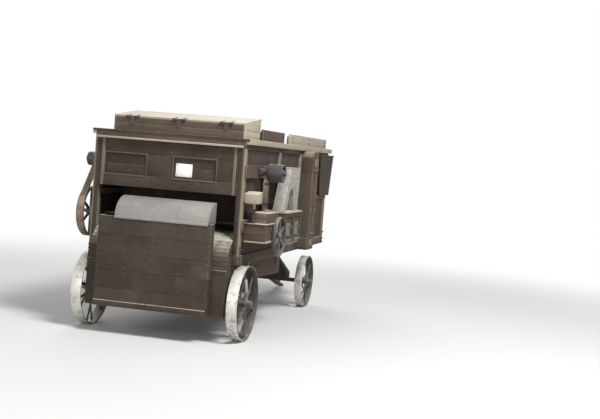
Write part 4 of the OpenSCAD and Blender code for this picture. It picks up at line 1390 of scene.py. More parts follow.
@dataclass
class Hood(Assembly):
    """The hood over the drum's mouth, with its hinged lid."""

    length: float = 0.70
    y0: float = -0.985
    y1: float = 0.775
    low: float = 2.58
    top: float = 2.75
    rise: float = 0.09
    wall: float = 0.022
    far_joint: float = 2.71
    batten: Span = (0.04, 0.03)
    batten_low: float = 0.01
    lid_t: float = 0.022
    lid_gap: float = 0.0003
    lid_over: float = 0.015
    lid_boards: int = 5
    board_gap: float = 0.0012
    nail_in: float = 0.03
    nails_y: Row = (-0.93, -0.55, -0.10, 0.35, 0.72)
    hinge: Span = (-0.015, 2.758)
    hinges: Row = (-0.735, -0.105, 0.525)
    knuckle: Span = (0.03, 0.0112)
    pin: Span = (0.09, 0.005)
    play: float = 0.0003
    fixed_leaf: Span = (2.668, 2.748)
    fixed_arm: float = 2.72
    leaf_t: Span = (0.008, 0.004)
    lid_leaf_x: Point = (-0.0115, -0.0035, 0.11)
    lid_leaf_z: Point = (2.7745, 2.7772, 2.7812)
    screws_z: Row = (2.684, 2.706)
    rivets_x: Row = (0.03, 0.06, 0.09)
    rivet_z: float = 2.7765

    @property
    def tilt(self) -> float:
        """The lid's slope, in radians."""
        return math.atan(self.rise / self.length)

    def build(self) -> None:
        """Builds the walls, the lid and the hinges between them."""
        self.walls()
        self.lid()
        self.ironwork()

    def walls(self) -> None:
        """Boards the four walls; the right one gets a paler wood, which is painted sunlight on that side."""
        half = (self.low + self.top) / 2
        l, w, y0, y1 = self.length, self.wall, self.y0, self.y1
        far_top = self.top + self.rise * (1 - w / l)
        ends = ((0, w, self.low, half), (0, w, half, self.top),
                (l - w, l, self.low, self.far_joint), (l - w, l, self.far_joint, far_top))
        parts = [Board((x0, y0 + w, z0), (x1, y1 - w, z1)) for x0, x1, z0, z1 in ends]
        sides = ((self.low, half, 0.0), (half, self.top, self.rise))
        parts += [Board((0, y1 - w, z0), (l, y1, z1), rise=rise) for z0, z1, rise in sides]
        bx, by = self.batten
        parts += [Board((x, y, self.low), (x + bx, y + by, self.top - self.batten_low))
                  for x in (w, l - w - bx) for y in (y0 + w, y1 - w - by)]
        self.shop.timber("hood_walls", parts, Wood.BROWN, Axis.Y, Slot.DARK, stands_for=["drum_hood"])
        # The right wall's paler wood is painted sunlight: it stands in for the light that falls on that side.
        pale = [Board((0, y0, z0), (l, y0 + w, z1), rise=rise) for z0, z1, rise in sides]
        self.shop.timber("hood_right_wall", pale, Wood.BARE, Axis.X, Slot.DARK)

    def lid_point(self, along: float, off: float) -> Span:
        """A point along the lid's slope and off its underside, as x and z."""
        x = along * math.cos(self.tilt) - off * math.sin(self.tilt)
        return x, self.top + self.lid_gap + along * math.sin(self.tilt) + off * math.cos(self.tilt)

    def lid(self) -> None:
        """Boards and nails the lid along its slope, on the lid's own body."""
        whole = self.length / math.cos(self.tilt) + self.lid_over
        edges = steps(0.0, whole, self.lid_boards + 1)
        half, parts = self.lid_t / 2, []
        for a, b in zip(edges, edges[1:]):
            x, z = self.lid_point((a + b) / 2, half)
            long = (b - a) / 2 - self.board_gap
            parts.append(Board((x - long, self.y0, z - half), (x + long, self.y1, z + half),
                               turn=-math.degrees(self.tilt)))
        self.shop.timber("hood_lid_boards", parts, Wood.BARE, Axis.Y, Slot.PALE, body="hood_lid",
                         stands_for=["hood_lid"])
        rows = [self.lid_point(u, self.lid_t) for a, b in zip(edges, edges[1:])
                for u in (a + self.nail_in, b - self.nail_in)]
        places = [((x, y, z), self.lid_up()) for y in self.nails_y for x, z in rows]
        self.shop.fix("hood_lid_nails", Fixing.NAIL, places, "hood_lid", NAILS)

    def lid_up(self) -> Point:
        """The way that the lid's face looks."""
        return -math.sin(self.tilt), 0.0, math.cos(self.tilt)

    def ironwork(self) -> None:
        """Forges the hinges' fixed and moving knuckles, and fixes them."""
        x, z = self.hinge
        (short, thick), (wide, thin), (plate, arm) = self.knuckle, self.pin, self.leaf_t
        (x0, x1, x2), (z1, z2, z3) = self.lid_leaf_x, self.lid_leaf_z
        fixed, moving, screws, rivets = [], [], [], []
        for y in self.hinges:
            fixed += [Rod((x, y - short, z), (x, y + short, z), thick),
                      Rod((x, y - wide, z), (x, y + wide, z), thin),
                      Board((-plate, y - short, self.fixed_leaf[0]), (0, y + short, self.fixed_leaf[1])),
                      Board((x - arm, y - short, self.fixed_arm), (-arm, y + short, z))]
            gap = short + self.play
            for a, b in ((y - wide, y - gap), (y + gap, y + wide)):
                moving += [Rod((x, a, z), (x, b, z), thick), Board((x0, a, z), (x1, b, z1)),
                           Board((x0, a, z2), (x2, b, z3), turn=-math.degrees(self.tilt))]
            screws += spots([-plate], [y], self.screws_z, AHEAD)
            for u in self.rivets_x:
                height = self.rivet_z + u * math.tan(self.tilt)
                rivets += spots([u], [y - 2 * short, y + 2 * short], [height], self.lid_up())
        self.shop.iron("hood_hinges", fixed)
        self.shop.fix("hood_hinge_screws", Fixing.SCREW, screws)
        self.shop.iron("lid_hinge_leaves", moving, "hood_lid")
        self.shop.fix("lid_hinge_rivets", Fixing.RIVET, rivets, "hood_lid")


@dataclass
class FanEnd(Assembly):
    """The fan casing with the end board and the rounded sheet before it."""

    centre: Span = (0.25, 0.92)
    radius: float = 0.45
    laths: int = 12
    top_boards: int = 4
    lath_nails: Row = (-0.90, -0.78, 0.78, 0.90)
    nail_radius: float = 0.448
    board_x: float = -0.35
    board_t: float = 0.032
    board_z: Span = (0.35, 1.49)
    boards: int = 5
    board_nails: Row = (-0.72, -0.36, 0.0, 0.36, 0.72)
    nail_shares: Span = (0.18, 0.82)
    foot: Span = (0.03, 0.035)
    foot_nails: tuple[float, float, int] = (-0.70, 0.70, 7)
    cover: Span = (0.31, 0.26)
    cover_y: Span = (-0.70, 0.535)
    sheets: int = 3
    lip: Span = (0.008, 0.012)
    lip_rivets: int = 16
    lip_in: float = 0.02
    edge_in: float = 0.014
    lap: float = 0.012
    rivet_angles: tuple[int, int, int] = (100, 176, 9)

    def build(self) -> None:
        """Builds the casing, the end board and the sheet cover."""
        self.casing()
        self.end_board()
        self.sheet_cover()

    def casing(self) -> None:
        """Laths the fan casing round its curve."""
        cx, cz = self.centre

        def skin(at: np.ndarray) -> np.ndarray:
            """The casing's curved face and its flat top.

            Args:
                at: the faces' middles.

            Returns:
                True for each face on the outside.
            """
            out = np.hypot(at[:, 0] - END - cx, at[:, 2] - cz)
            curved = (at[:, 0] < END + cx) & (at[:, 2] > cz) & (out > self.radius * 0.96)
            return curved | (at[:, 2] > cz + self.radius - 0.002)

        joints = fan(self.centre, 180, 90, self.laths) + row(Axis.X, cx, cx + self.radius, self.top_boards)
        self.shop.dress("fan_casing", Timber(Wood.UMBER, Axis.Y), 0.003, joints, skin)
        places = []
        for i in range(self.laths):
            angle = math.radians(180 - 90 * (i + 0.5) / self.laths)
            places += [round_spot(self.centre, y, self.nail_radius, angle) for y in self.lath_nails]
        self.shop.fix("casing_nails", Fixing.NAIL, places, finish=NAILS)

    def end_board(self) -> None:
        """Boards the end up to the sheet, and nails it."""
        x, (z0, z1), count = self.board_x, self.board_z, self.boards
        self.shop.dress("end_board", Timber(Wood.UMBER, Axis.Y), 0.004, row(Axis.Z, z0, z1, count),
                        lambda at: at[:, 0] < END + x + self.board_t)
        heights = [z0 + (z1 - z0) * (i + share) / count for i in range(count) for share in self.nail_shares]
        # The lowest board is nailed through the strip along its foot
        places = spots([x], self.board_nails, heights[2:], AHEAD)
        places += spots([x - self.foot[0]], steps(*self.foot_nails), [z0 + self.foot[1]], AHEAD)
        self.shop.fix("end_board_nails", Fixing.NAIL, places, finish=NAILS)

    def sheet_cover(self) -> None:
        """Seams and rivets the rounded sheet."""
        rx, rz = self.cover
        x, z, (y0, y1) = self.board_x + rx, self.board_z[1], self.cover_y
        seams = row(Axis.Y, y0, y1, self.sheets)
        self.shop.dress("curved_cover", COVER, 0.0015, seams, lambda at: at[:, 2] > z + 0.01, width=SEAM)
        ys = steps(y0 + self.lip_in, y1 - self.lip_in, self.lip_rivets)
        places = spots([self.board_x - self.lip[0]], ys, [z - self.lip[1]], AHEAD)
        lines = (y0 + self.edge_in, *(seam.at[1] + self.lap for seam in seams), y1 - self.edge_in)
        for a in (math.radians(d) for d in range(*self.rivet_angles)):
            at = (x + rx * math.cos(a), z + rz * math.sin(a))
            way = Vector((math.cos(a) / rx, 0, math.sin(a) / rz)).normalized()
            places += [((at[0], y, at[1]), tuple(way)) for y in lines]
        self.shop.fix("cover_rivets", Fixing.RIVET, places, finish=COVER)


@dataclass
class DrumGear(Assembly):
    """The drum, its pulleys and bearings, the cross shaft, the belt and the chute."""

    bars: int = 8
    bolts_y: Row = (-0.752, -0.256, 0.256, 0.752)
    bolt_at: Span = (0.260, 0.019)
    teeth: tuple[float, float, int] = (-0.77, 0.77, 30)
    tooth_at: Span = (0.266, -0.008)
    tooth: Point = (0.0025, 0.006, 0.017)
    flange: Point = (0.066, 1.056, 0.028)
    belt: Span = (0.11, 0.33)
    belt_grow: float = 0.0068
    belt_y: Span = (1.135, 1.225)
    clips: int = 6
    clip: Point = (0.02, 0.003, 0.0015)
    clip_in: float = 0.01

    def build(self) -> None:
        """Dresses the moving iron and the wood round it."""
        shop = self.shop
        shop.dress("drum", IRON, 0.002)
        self.bar_bolts()
        for node in ("drum_pulleys", "cross_shaft", "bearings"):
            shop.dress(node, IRON, 0.0015)
        shop.dress("belts", HIDE, 0.0012)
        shop.dress("feed_chute", Timber(Wood.BROWN, Axis.Y), 0.003)
        self.bearing_bolts()
        self.lacing()

    def on_bar(self, angle: float, y: float, out: float, along: float) -> Point:
        """A place out from the shaft and along the face of a bar, by the bar's angle in radians."""
        (cx, cz), c, s = self.size.drum, math.cos(angle), math.sin(angle)
        return cx + out * c + along * s, y, cz - out * s + along * c

    def bar_bolts(self) -> None:
        """Bolts each bar of the drum to its discs, and cuts its rib with teeth."""
        places, ribs = [], []
        for i in range(self.bars):
            a = math.radians((i + 0.5) * 360 / self.bars)
            way = (math.cos(a), 0.0, -math.sin(a))
            places += [(self.on_bar(a, y, *self.bolt_at), way) for y in self.bolts_y]
            ribs += [block(self.on_bar(a, y, *self.tooth_at), self.tooth, math.degrees(a))
                     for y in steps(*self.teeth)]
        self.shop.fix("drum_bolts", Fixing.DOME, places, "drum")
        self.shop.iron("drum_teeth", ribs, "drum", 0.0008)

    def bearing_bolts(self) -> None:
        """Bolts each flanged bearing to its rail."""
        dx, y, dz = self.flange
        for side in Side:
            places = []
            for x, z in (self.size.drum, self.size.cross):
                places += outward(side, [x - dx, x + dx], y, [z - dz, z + dz])
            self.shop.fix(f"bearing_bolts_{side.label}", Fixing.BOLT, places)

    def lacing(self) -> None:
        """Laces the belt's ends together with small clips, halfway along its near run."""
        (x0, z0), (x1, z1), (r0, r1) = self.size.drum, self.size.cross, self.belt
        apart = math.hypot(x1 - x0, z1 - z0)
        dx, dz = (x1 - x0) / apart, (z1 - z0) / apart
        # The run leans off the line between the shafts, as its pulleys differ
        lean = -(r1 - r0) / apart
        side = math.sqrt(1 - lean * lean)
        nx, nz = lean * dx + side * dz, lean * dz - side * dx
        off, turn = (r0 + r1) / 2 + self.belt_grow, math.degrees(math.atan2(nx, nz))
        x, z = (x0 + x1) / 2 + nx * off, (z0 + z1) / 2 + nz * off
        ys = steps(self.belt_y[0] + self.clip_in, self.belt_y[1] - self.clip_in, self.clips)
        self.shop.iron("belt_clips", [block((x, y, z), self.clip, turn) for y in ys], bevel=0.0006)


@dataclass
class RightBoxes(Assembly):
    """The side box, the grain box with its sack mouths, the spout and the side pulley."""

    levels: Row = (1.392, 1.5055, 1.585)
    parting: float = 1.70
    # The pale boards on the tops of both steps and along the foot, by their corners
    pale: tuple[tuple[Point, Point], ...] = (
        ((0.083, 1.155, 1.5195), (0.249, 1.327, 1.5235)), ((0.249, 1.278, 1.5195), (0.9, 1.327, 1.5235)),
        ((0.288, 1.042, 1.6495), (0.9, 1.277, 1.6535)), ((0.0885, 1.3225, 1.2825), (0.899, 1.3262, 1.3075)),
        ((0.0905, 1.045, 1.2825), (0.0955, 1.3165, 1.3005)))
    strap: Span = (0.03, 0.004)
    side_straps: tuple[Row, float, Span] = ((0.11, 0.86), 1.315, (1.312, 1.5))
    step_straps: tuple[Row, float, Span] = ((0.33, 0.84), 1.275, (1.535, 1.64))
    side_screws: Row = (1.33, 1.41, 1.48)
    step_screws: Row = (1.555, 1.62)
    end_screws: tuple[float, Row, Row] = (0.095, (-1.07, -1.18, -1.29), (1.33, 1.47))
    ring: Eye = Eye((0.33, -1.321, 1.45), (0, 1, 0.25), 0.026, 0.004)
    grain_x: Span = (0.905, 1.80)
    grain_y: float = 1.355
    grain_top: float = 1.6394
    grain_top_y: Span = (-1.37, -1.015)
    grain_boards: tuple[int, int] = (8, 3)
    panel_y: float = 1.3405
    panel_play: float = 0.004
    bolt_in: float = 0.015
    bolts_z: Row = (1.31, 1.615)
    edge: Point = (0.028, 0.003, 0.001)
    edge_z: Span = (1.285, 1.635)
    mouths: Row = (1.12875, 1.57625)
    guide_y: Span = (1.341, 1.352)
    guide_z: Span = (1.335, 1.55)
    guide_off: float = 0.101
    guide_half: float = 0.011
    guide_screws: Row = (1.36, 1.44, 1.53)
    gate_ring: tuple[float, float, float, float] = (1.379, 1.46, 0.018, 0.003)
    mouth_screws: Row = (-0.13, -0.04, 0.04, 0.13)
    mouth_screw_at: Span = (1.377, 1.28)

    def build(self) -> None:
        """Builds the boxes from the drum end on."""
        self.side_box()
        self.grain_box()
        self.sack_mouths()
        Spout(self.shop).build()
        self.shop.dress("side_pulley", PULLEY, 0.0015)

    def side_box(self) -> None:
        """Boards the side box, and gives it straps, a ring and the little box above."""
        shop = self.shop
        shop.dress("side_box", Timber(Wood.BROWN, Axis.X), 0.004, [level(z) for z in self.levels],
                   cuts=[level(self.parting, DOWN)])
        shop.dress("side_box", Timber(Wood.BARE, Axis.X), 0.003, cuts=[level(self.parting)], name="tool_box")
        tops = right(Board(*corners) for corners in self.pale)
        shop.timber("side_box_tops", tops, Wood.BARE, Axis.X, Slot.PALE, 0.0015)
        irons, places, (wide, thick) = [], [], self.strap
        for (xs, y, zs), screws in ((self.side_straps, self.side_screws),
                                    (self.step_straps, self.step_screws)):
            irons += right(plates(xs, wide, (y, y + thick), zs))
            places += outward(Side.RIGHT, [x + wide / 2 for x in xs], y + thick, screws)
        shop.iron("side_box_irons", [*irons, self.ring])
        x, ys, zs = self.end_screws
        shop.fix("side_box_screws", Fixing.SCREW, places + spots([x], ys, zs, AHEAD))

    def grain_box(self) -> None:
        """Frames the grain box, with boarded panels under its pale top."""
        shop, (x0, x1), (upright, across) = self.shop, self.grain_x, self.grain_boards

        def panel(at: np.ndarray) -> np.ndarray:
            """The panels' sunk faces."""
            return np.abs(at[:, 1] + self.panel_y) < self.panel_play

        shop.dress("grain_box", Timber(Wood.UMBER, Axis.Z), 0.003, row(Axis.X, x0, x1, upright), panel,
                   cuts=[level(self.grain_top, DOWN)])
        shop.dress("grain_box", Timber(Wood.BARE, Axis.X), 0.004, row(Axis.Y, *self.grain_top_y, across),
                   cuts=[level(self.grain_top)], name="grain_box_top")
        middle, inset = (x0 + x1) / 2, self.bolt_in
        xs = [x0 + inset, middle - inset, middle + inset, x1 - inset]
        shop.fix("grain_box_bolts", Fixing.DOME, outward(Side.RIGHT, xs, self.grain_y, self.bolts_z))
        (wide, thick, inset), y = self.edge, self.grain_y
        corners = plates((x0 + inset, x1 - wide - inset), wide, (y, y + thick), self.edge_z)
        shop.timber("grain_box_edges", right(corners), Wood.BROWN, Axis.Z, Slot.PAINTED, 0.001)

    def sack_mouths(self) -> None:
        """Fits guides, screws and pull rings to the gates over the sack mouths."""
        self.shop.dress("sack_slides", ZINC, 0.0012)
        parts, screws, half = [], [], self.guide_half
        ring_y, ring_z, radius, bar = self.gate_ring
        for x in self.mouths:
            for a in (x - self.guide_off, x + self.guide_off):
                parts += right(plates([a - half], 2 * half, self.guide_y, self.guide_z))
                screws += outward(Side.RIGHT, [a], self.guide_y[1], self.guide_screws)
            parts.append(Eye((x, -ring_y, ring_z), BEHIND, radius, bar))
            y, z = self.mouth_screw_at
            screws += outward(Side.RIGHT, [x + dx for dx in self.mouth_screws], y, [z])
        self.shop.iron("gate_guides", parts, finish=PULLEY)
        self.shop.fix("gate_screws", Fixing.SCREW, screws)


@dataclass
class Spout(Assembly):
    """The forked sheet spout over the grain box."""

    x: float = 0.905
    face: float = 1.315
    seams: Row = (1.90, 2.10)
    arch: Point = (0.425, 1.842, 0.147)
    rivet_gap: float = 0.045
    # Rows of rivets, by the x and z of their corners from the spout's near edge
    lines: tuple[tuple[Span, ...], ...] = (
        ((0.045, 1.685), (0.262, 2.10), (0.342, 2.235)), ((0.78, 1.685), (0.83, 2.13), (0.812, 2.235)),
        ((0.20, 1.70), (0.278, 1.842)), ((0.605, 1.70), (0.572, 1.842)), ((0.30, 2.115), (0.80, 2.115)))
    arch_rivets: tuple[int, int, int] = (0, 181, 18)
    rim_y: Span = (1.161, 1.319)
    rims: tuple[tuple[Span, Span], ...] = (((0.324, 0.836), (2.236, 2.254)), ((0.02, 0.19), (1.662, 1.676)),
                                           ((0.60, 0.806), (1.662, 1.676)))

    def build(self) -> None:
        """Seams the spout, rivets its edges and rims its ends."""
        shop, out = self.shop, Side.RIGHT.way
        shop.dress("grain_spout", SPOUT, 0.0015, [level(z) for z in self.seams], width=SEAM)
        points = []
        for line in self.lines:
            for start, end in zip(line, line[1:]):
                count = max(2, round(math.dist(start, end) / self.rivet_gap))
                points += [tuple(a + (b - a) * i / count for a, b in zip(start, end)) for i in range(count)]
        cx, cz, radius = self.arch
        for a in (math.radians(d) for d in range(*self.arch_rivets)):
            points.append((cx + radius * math.cos(a), cz + radius * math.sin(a)))
        places = [((self.x + x, -self.face, z), out) for x, z in points]
        shop.fix("spout_rivets", Fixing.RIVET, places, finish=SPOUT)
        (y0, y1), x = self.rim_y, self.x
        rims = right(Board((x + x0, y0, z0), (x + x1, y1, z1)) for (x0, x1), (z0, z1) in self.rims)
        shop.place(shop.bench.make("spout_rims", rims, 0.002), "machine", Slot.SHEET.value, SPOUT)


@dataclass
class Elevator(Assembly):
    """The grain elevator's casing on the right side."""

    x: Span = (3.05, 3.45)
    face: float = 1.195
    leg: float = 0.15
    heads: Row = (1.175, 1.305, 2.175)
    band_t: float = 0.004
    whole_bands: tuple[Row, float] = ((1.235, 2.215), 0.035)
    leg_bands: tuple[Row, float] = ((1.60, 1.90), 0.03)
    # Each door: how far it stands in from the casing's sides, its thickness, foot and top
    doors: tuple[tuple[float, float, Span], ...] = ((0.10, 0.014, (2.27, 2.39)), (0.09, 0.012, (1.05, 1.15)))
    screws_in: Span = (0.02, 0.13)
    screws_z: Row = (1.252, 1.615, 1.915, 2.232)
    door_screw: float = 0.015

    def build(self) -> None:
        """Boards the casing, and gives it bands, a door and a boot slide."""
        shop, (x0, x1), y = self.shop, self.x, self.face
        shop.dress("grain_elevator", Timber(Wood.BROWN, Axis.Z), 0.004, [level(z) for z in self.heads])
        faces, bands = (y, y + self.band_t), []
        for (heights, high), starts, wide in ((self.whole_bands, (x0,), x1 - x0),
                                              (self.leg_bands, (x0, x1 - self.leg), self.leg)):
            for z in heights:
                bands += right(plates(starts, wide, faces, (z, z + high)))
        shop.iron("elevator_bands", bands)
        near, far = self.screws_in
        places = outward(Side.RIGHT, [x0 + near, x0 + far, x1 - far, x1 - near], faces[1], self.screws_z)
        doors, s = [], self.door_screw
        for inset, thick, (z0, z1) in self.doors:
            doors.append(Board((x0 + inset, y, z0), (x1 - inset, y + thick, z1)))
            xs = [x0 + inset + s, x1 - inset - s]
            places += outward(Side.RIGHT, xs, y + thick, [z0 + s, z1 - s])
        shop.timber("elevator_doors", right(doors), Wood.ASH, Axis.X, Slot.PAINTED)
        shop.fix("elevator_screws", Fixing.SCREW, places)


@dataclass
class StrawEnd(Assembly):
    """The straw walkers, the cheeks beside them, the hood over the outlet and the tail board."""

    walkers: int = 4
    pitch: float = 0.46
    half_walker: float = 0.215
    side_board: float = 0.02
    walker_x: Span = (1.35, 4.71)
    slat: float = 0.07
    slat_gap: float = 0.008
    cheek_x: Span = (4.25, 5.25)
    cheek_boards: int = 7
    cheek_top: float = 2.459
    cheek_bolts: Row = (4.42, 4.70, 4.90)
    cheek_y: float = 1.045
    cheek_z: Row = (1.84, 2.40)
    hood: Span = (4.95, 2.22)
    hood_from: float = 12
    hood_boards: int = 7
    hood_nail: float = 0.239
    hood_nails: Row = (-0.98, -0.50, 0.0, 0.50, 0.98)
    tail_z: Span = (1.105, 1.50)
    tail_boards: int = 3
    tail_front: float = 4.914
    tail_back: float = 4.938
    tail_nails_y: Row = (-0.54, 0.0, 0.54)
    tail_nails_z: Row = (1.14, 1.20, 1.27, 1.34, 1.40, 1.46)
    strap: Span = (0.004, 0.03)
    straps_z: Row = (1.17, 1.43)
    straps_y: tuple[Span, ...] = ((-0.92, -0.585), (-0.495, -0.045), (0.045, 0.495), (0.585, 0.92))

    def build(self) -> None:
        """Builds the walkers, the cheeks and the curved hood."""
        shop = self.shop
        self.straw_walkers()
        shop.dress("walker_shafts", IRON, 0.0015)
        joints = row(Axis.X, *self.cheek_x, self.cheek_boards)
        shop.dress("walker_cover", Timber(Wood.UMBER, Axis.Z), 0.003, joints,
                   lambda at: at[:, 2] < self.cheek_top)
        cx, cz = self.hood

        def boards(at: np.ndarray) -> np.ndarray:
            """The hood's curve and the tail board's inner face.

            Args:
                at: the faces' middles.

            Returns:
                True for each face that has board joints.
            """
            out = np.hypot(at[:, 0] - END - cx, at[:, 2] - cz)
            tail = (at[:, 2] < 1.6) & (at[:, 0] < END + self.tail_front + 0.0002)
            return ((at[:, 2] > 2.0) & (out > 0.2)) | tail

        joints = fan(self.hood, self.hood_from, 90, self.hood_boards)
        joints += row(Axis.Z, *self.tail_z, self.tail_boards)
        shop.dress("straw_hood", Timber(Wood.BROWN, Axis.Y), 0.003, joints, boards)
        self.fixings()

    def straw_walkers(self) -> None:
        """Slats the walkers' rising treads between their side boards."""
        low, high = self.walker_x
        inside = self.half_walker - self.side_board - 0.001

        def treads(at: np.ndarray) -> np.ndarray:
            """The faces between the side boards.

            Args:
                at: the faces' middles.

            Returns:
                True for each face of a tread.
            """
            middle = (self.walkers - 1) / 2
            nearest = np.round(at[:, 1] / self.pitch + middle) - middle
            return np.abs(at[:, 1] - nearest * self.pitch) < inside

        self.shop.dress("straw_walkers", Timber(Wood.BROWN, Axis.X), 0.0015,
                        row(Axis.X, low, high, round((high - low) / self.slat)), treads, width=self.slat_gap)

    def fixings(self) -> None:
        """Bolts the cheeks, nails the hood and the tail board, and straps the tail board."""
        for side in Side:
            places = outward(side, self.cheek_bolts, self.cheek_y, self.cheek_z)
            self.shop.fix(f"cheek_bolts_{side.label}", Fixing.BOLT, places)
        places = []
        for i in range(self.hood_boards):
            a = math.radians(self.hood_from + (90 - self.hood_from) * (i + 0.5) / self.hood_boards)
            places += [round_spot(self.hood, y, self.hood_nail, a) for y in self.hood_nails]
        places += spots([self.tail_back], self.tail_nails_y, self.tail_nails_z, BEHIND)
        self.shop.fix("straw_end_nails", Fixing.NAIL, places, finish=NAILS)
        x, (thick, wide) = self.tail_front, self.strap
        self.shop.iron("tail_straps", [Board((x, y0, z), (x + thick, y1, z + wide))
                                       for z in self.straps_z for y0, y1 in self.straps_y])


@dataclass
class Shoe(Assembly):
    """The sieve shoe under the body, with its hangers."""

    joint: float = 0.80
    side: float = 0.80
    bolts: tuple[Row, float, Row] = ((1.19, 2.79), 0.82, (0.75, 0.82))
    bracket_bolts: tuple[Row, float, Row] = ((1.165, 1.215, 2.765, 2.815), 0.88, (1.005,))
    edge: Board = Board((1.0, 0.80, 0.905), (3.0, 0.804, 0.935))

    def build(self) -> None:
        """Boards the shoe and bolts its hangers."""
        shop = self.shop
        shop.dress("sieve_shoe", Timber(Wood.BROWN, Axis.X), 0.004, [level(self.joint)],
                   lambda at: np.abs(at[:, 1]) > self.side - 0.002)
        shop.dress("shoe_hangers", Timber(Wood.ASH, Axis.Z), 0.003)
        for side in Side:
            places = []
            for (xs, y, zs), way in ((self.bolts, side.way), (self.bracket_bolts, DOWN)):
                places += spots(xs, [side.value * y], zs, way)
            shop.fix(f"hanger_bolts_{side.label}", Fixing.DOME, places)
        shop.iron("shoe_edges", mirrored(self.edge))


@dataclass
class Wheels(Assembly):
    """The four spoked iron wheels, on their own bodies."""

    spokes: int = 12
    tread: float = 0.985
    rim: float = 0.0145
    pin_in: float = 0.018
    pin: Point = (0.052, 0.006, 0.058)
    pin_ring: Span = (0.010, 0.003)

    def build(self) -> None:
        """Finishes the wheels, the fixed axle's first."""
        for end in ("rear", "front"):
            for side in Side:
                self.wheel(f"wheel_{end}_{side.label}", side)

    def wheel(self, node: str, side: Side) -> None:
        """Finishes a wheel: its rubbed tread, rivets at the spokes and a linchpin.

        Args:
            node: the CAD node.
            side: the side of the machine that it is on.
        """
        shop = self.shop
        wheel = shop.dress(node, WHEEL_IRON, 0.0016)
        low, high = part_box(node)
        centre, radius = (low + high) / 2, (high.z - low.z) / 2
        away = Bench.centres(wheel) - np.array(centre)
        Bench.store(wheel, "tread", np.hypot(away[:, 0], away[:, 2]) > radius * self.tread)
        x, inside = centre.x - END, radius - self.rim
        rivets = []
        for i in range(self.spokes):
            a = (i + 0.5) * math.tau / self.spokes
            c, s = math.cos(a), math.sin(a)
            rivets.append(((x + inside * c, centre.y, centre.z + inside * s), (-c, 0.0, -s)))
        shop.fix(f"{node}_rivets", Fixing.DOME, rivets, shop.body[node], WHEEL_IRON)
        y = (high.y if side is Side.LEFT else low.y) - side.value * self.pin_in
        half, thick, ring = self.pin
        parts = [Rod((x, y, centre.z - half), (x, y, centre.z + half), thick, 10),
                 Eye((x, y, centre.z + ring), Side.LEFT.way, *self.pin_ring)]
        shop.iron(f"{node}_linchpin", parts, shop.body[node])


@dataclass
class RunningGear(Assembly):
    """The axles, the wheels, the turntable, the bogie and the drawbar."""

    plate_bolts: tuple[tuple[Row, Row], ...] = (((0.10, 0.18, 0.32, 0.40), (0.945,)), ((0.20, 0.30), (0.59,)))
    plate_y: float = 0.942
    table_bolts: tuple[Row, Row, Row] = ((3.45, 3.50, 4.62, 4.66), (-0.22, 0.22), (0.93,))
    front_x: float = 4.05
    ring_z: float = 0.8691
    bolster: float = 0.075
    hoops: Row = (-0.66, -0.46, 0.415, 0.615)
    hoop_w: float = 0.045
    hoop_t: float = 0.005
    hoop_z: Point = (0.435, 0.44, 0.535)
    arm_y: Span = (0.33, 0.334)
    # Each strap on the bogie's arms: its x from the axle and its foot and top
    arm_straps: tuple[tuple[Span, Span], ...] = (((-0.40, 0.36), (0.595, 0.625)),
                                                 ((0.44, 0.655), (0.49, 0.55)))
    arm_bolts: tuple[tuple[Row, float], ...] = (((-0.37, -0.10, 0.10, 0.33), 0.61), ((0.47, 0.53), 0.52))
    hoop_bolts: tuple[Row, Row] = ((-0.6375, -0.4375, 0.4375, 0.6375), (0.465, 0.51))

    def build(self) -> None:
        """Builds the gear from the fixed axle to the tow eye."""
        shop = self.shop
        for node in ("rear_axle", "axle_plates", "front_axle"):
            shop.dress(node, IRON, 0.003)
        shop.dress("turntable", PULLEY, 0.002)
        for side in Side:
            places = []
            for xs, zs in self.plate_bolts:
                places += outward(side, xs, self.plate_y, zs)
            shop.fix(f"axle_plate_bolts_{side.label}", Fixing.BOLT, places)
        shop.fix("turntable_bolts", Fixing.BOLT, spots(*self.table_bolts, DOWN))
        Wheels(shop).build()
        self.bogie()
        Drawbar(shop).build()

    def bogie(self) -> None:
        """Parts the bogie's iron ring from its timber, and straps the timber."""
        shop, x, b = self.shop, self.front_x, self.bolster
        shop.dress("bogie", Timber(Wood.BROWN, Axis.X), 0.004, cuts=[level(self.ring_z, DOWN)])
        ring = shop.dress("bogie", PULLEY, 0.0015, cuts=[level(self.ring_z)], name="bogie_ring")
        out, (z0, z1, z2), straps = b + self.hoop_t, self.hoop_z, []
        for y in self.hoops:
            spans = (((-out, z0), (-b, z2)), ((b, z0), (out, z2)), ((-out, z0 + 0.0005), (out, z1)))
            straps += [Board((x + x0, y, low), (x + x1, y + self.hoop_w, high))
                       for (x0, low), (x1, high) in spans]
        (y0, y1), places = self.arm_y, []
        for side in Side:
            straps += [Board((x + x0, y0, low), (x + x1, y1, high)).on(side)
                       for (x0, x1), (low, high) in self.arm_straps]
            for xs, z in self.arm_bolts:
                places += outward(side, [x + dx for dx in xs], y1, [z])
        shop.iron("bogie_straps", straps, "bogie")
        places += spots([x - out], *self.hoop_bolts, AHEAD)
        shop.fix("bogie_bolts", Fixing.BOLT, places, "bogie")


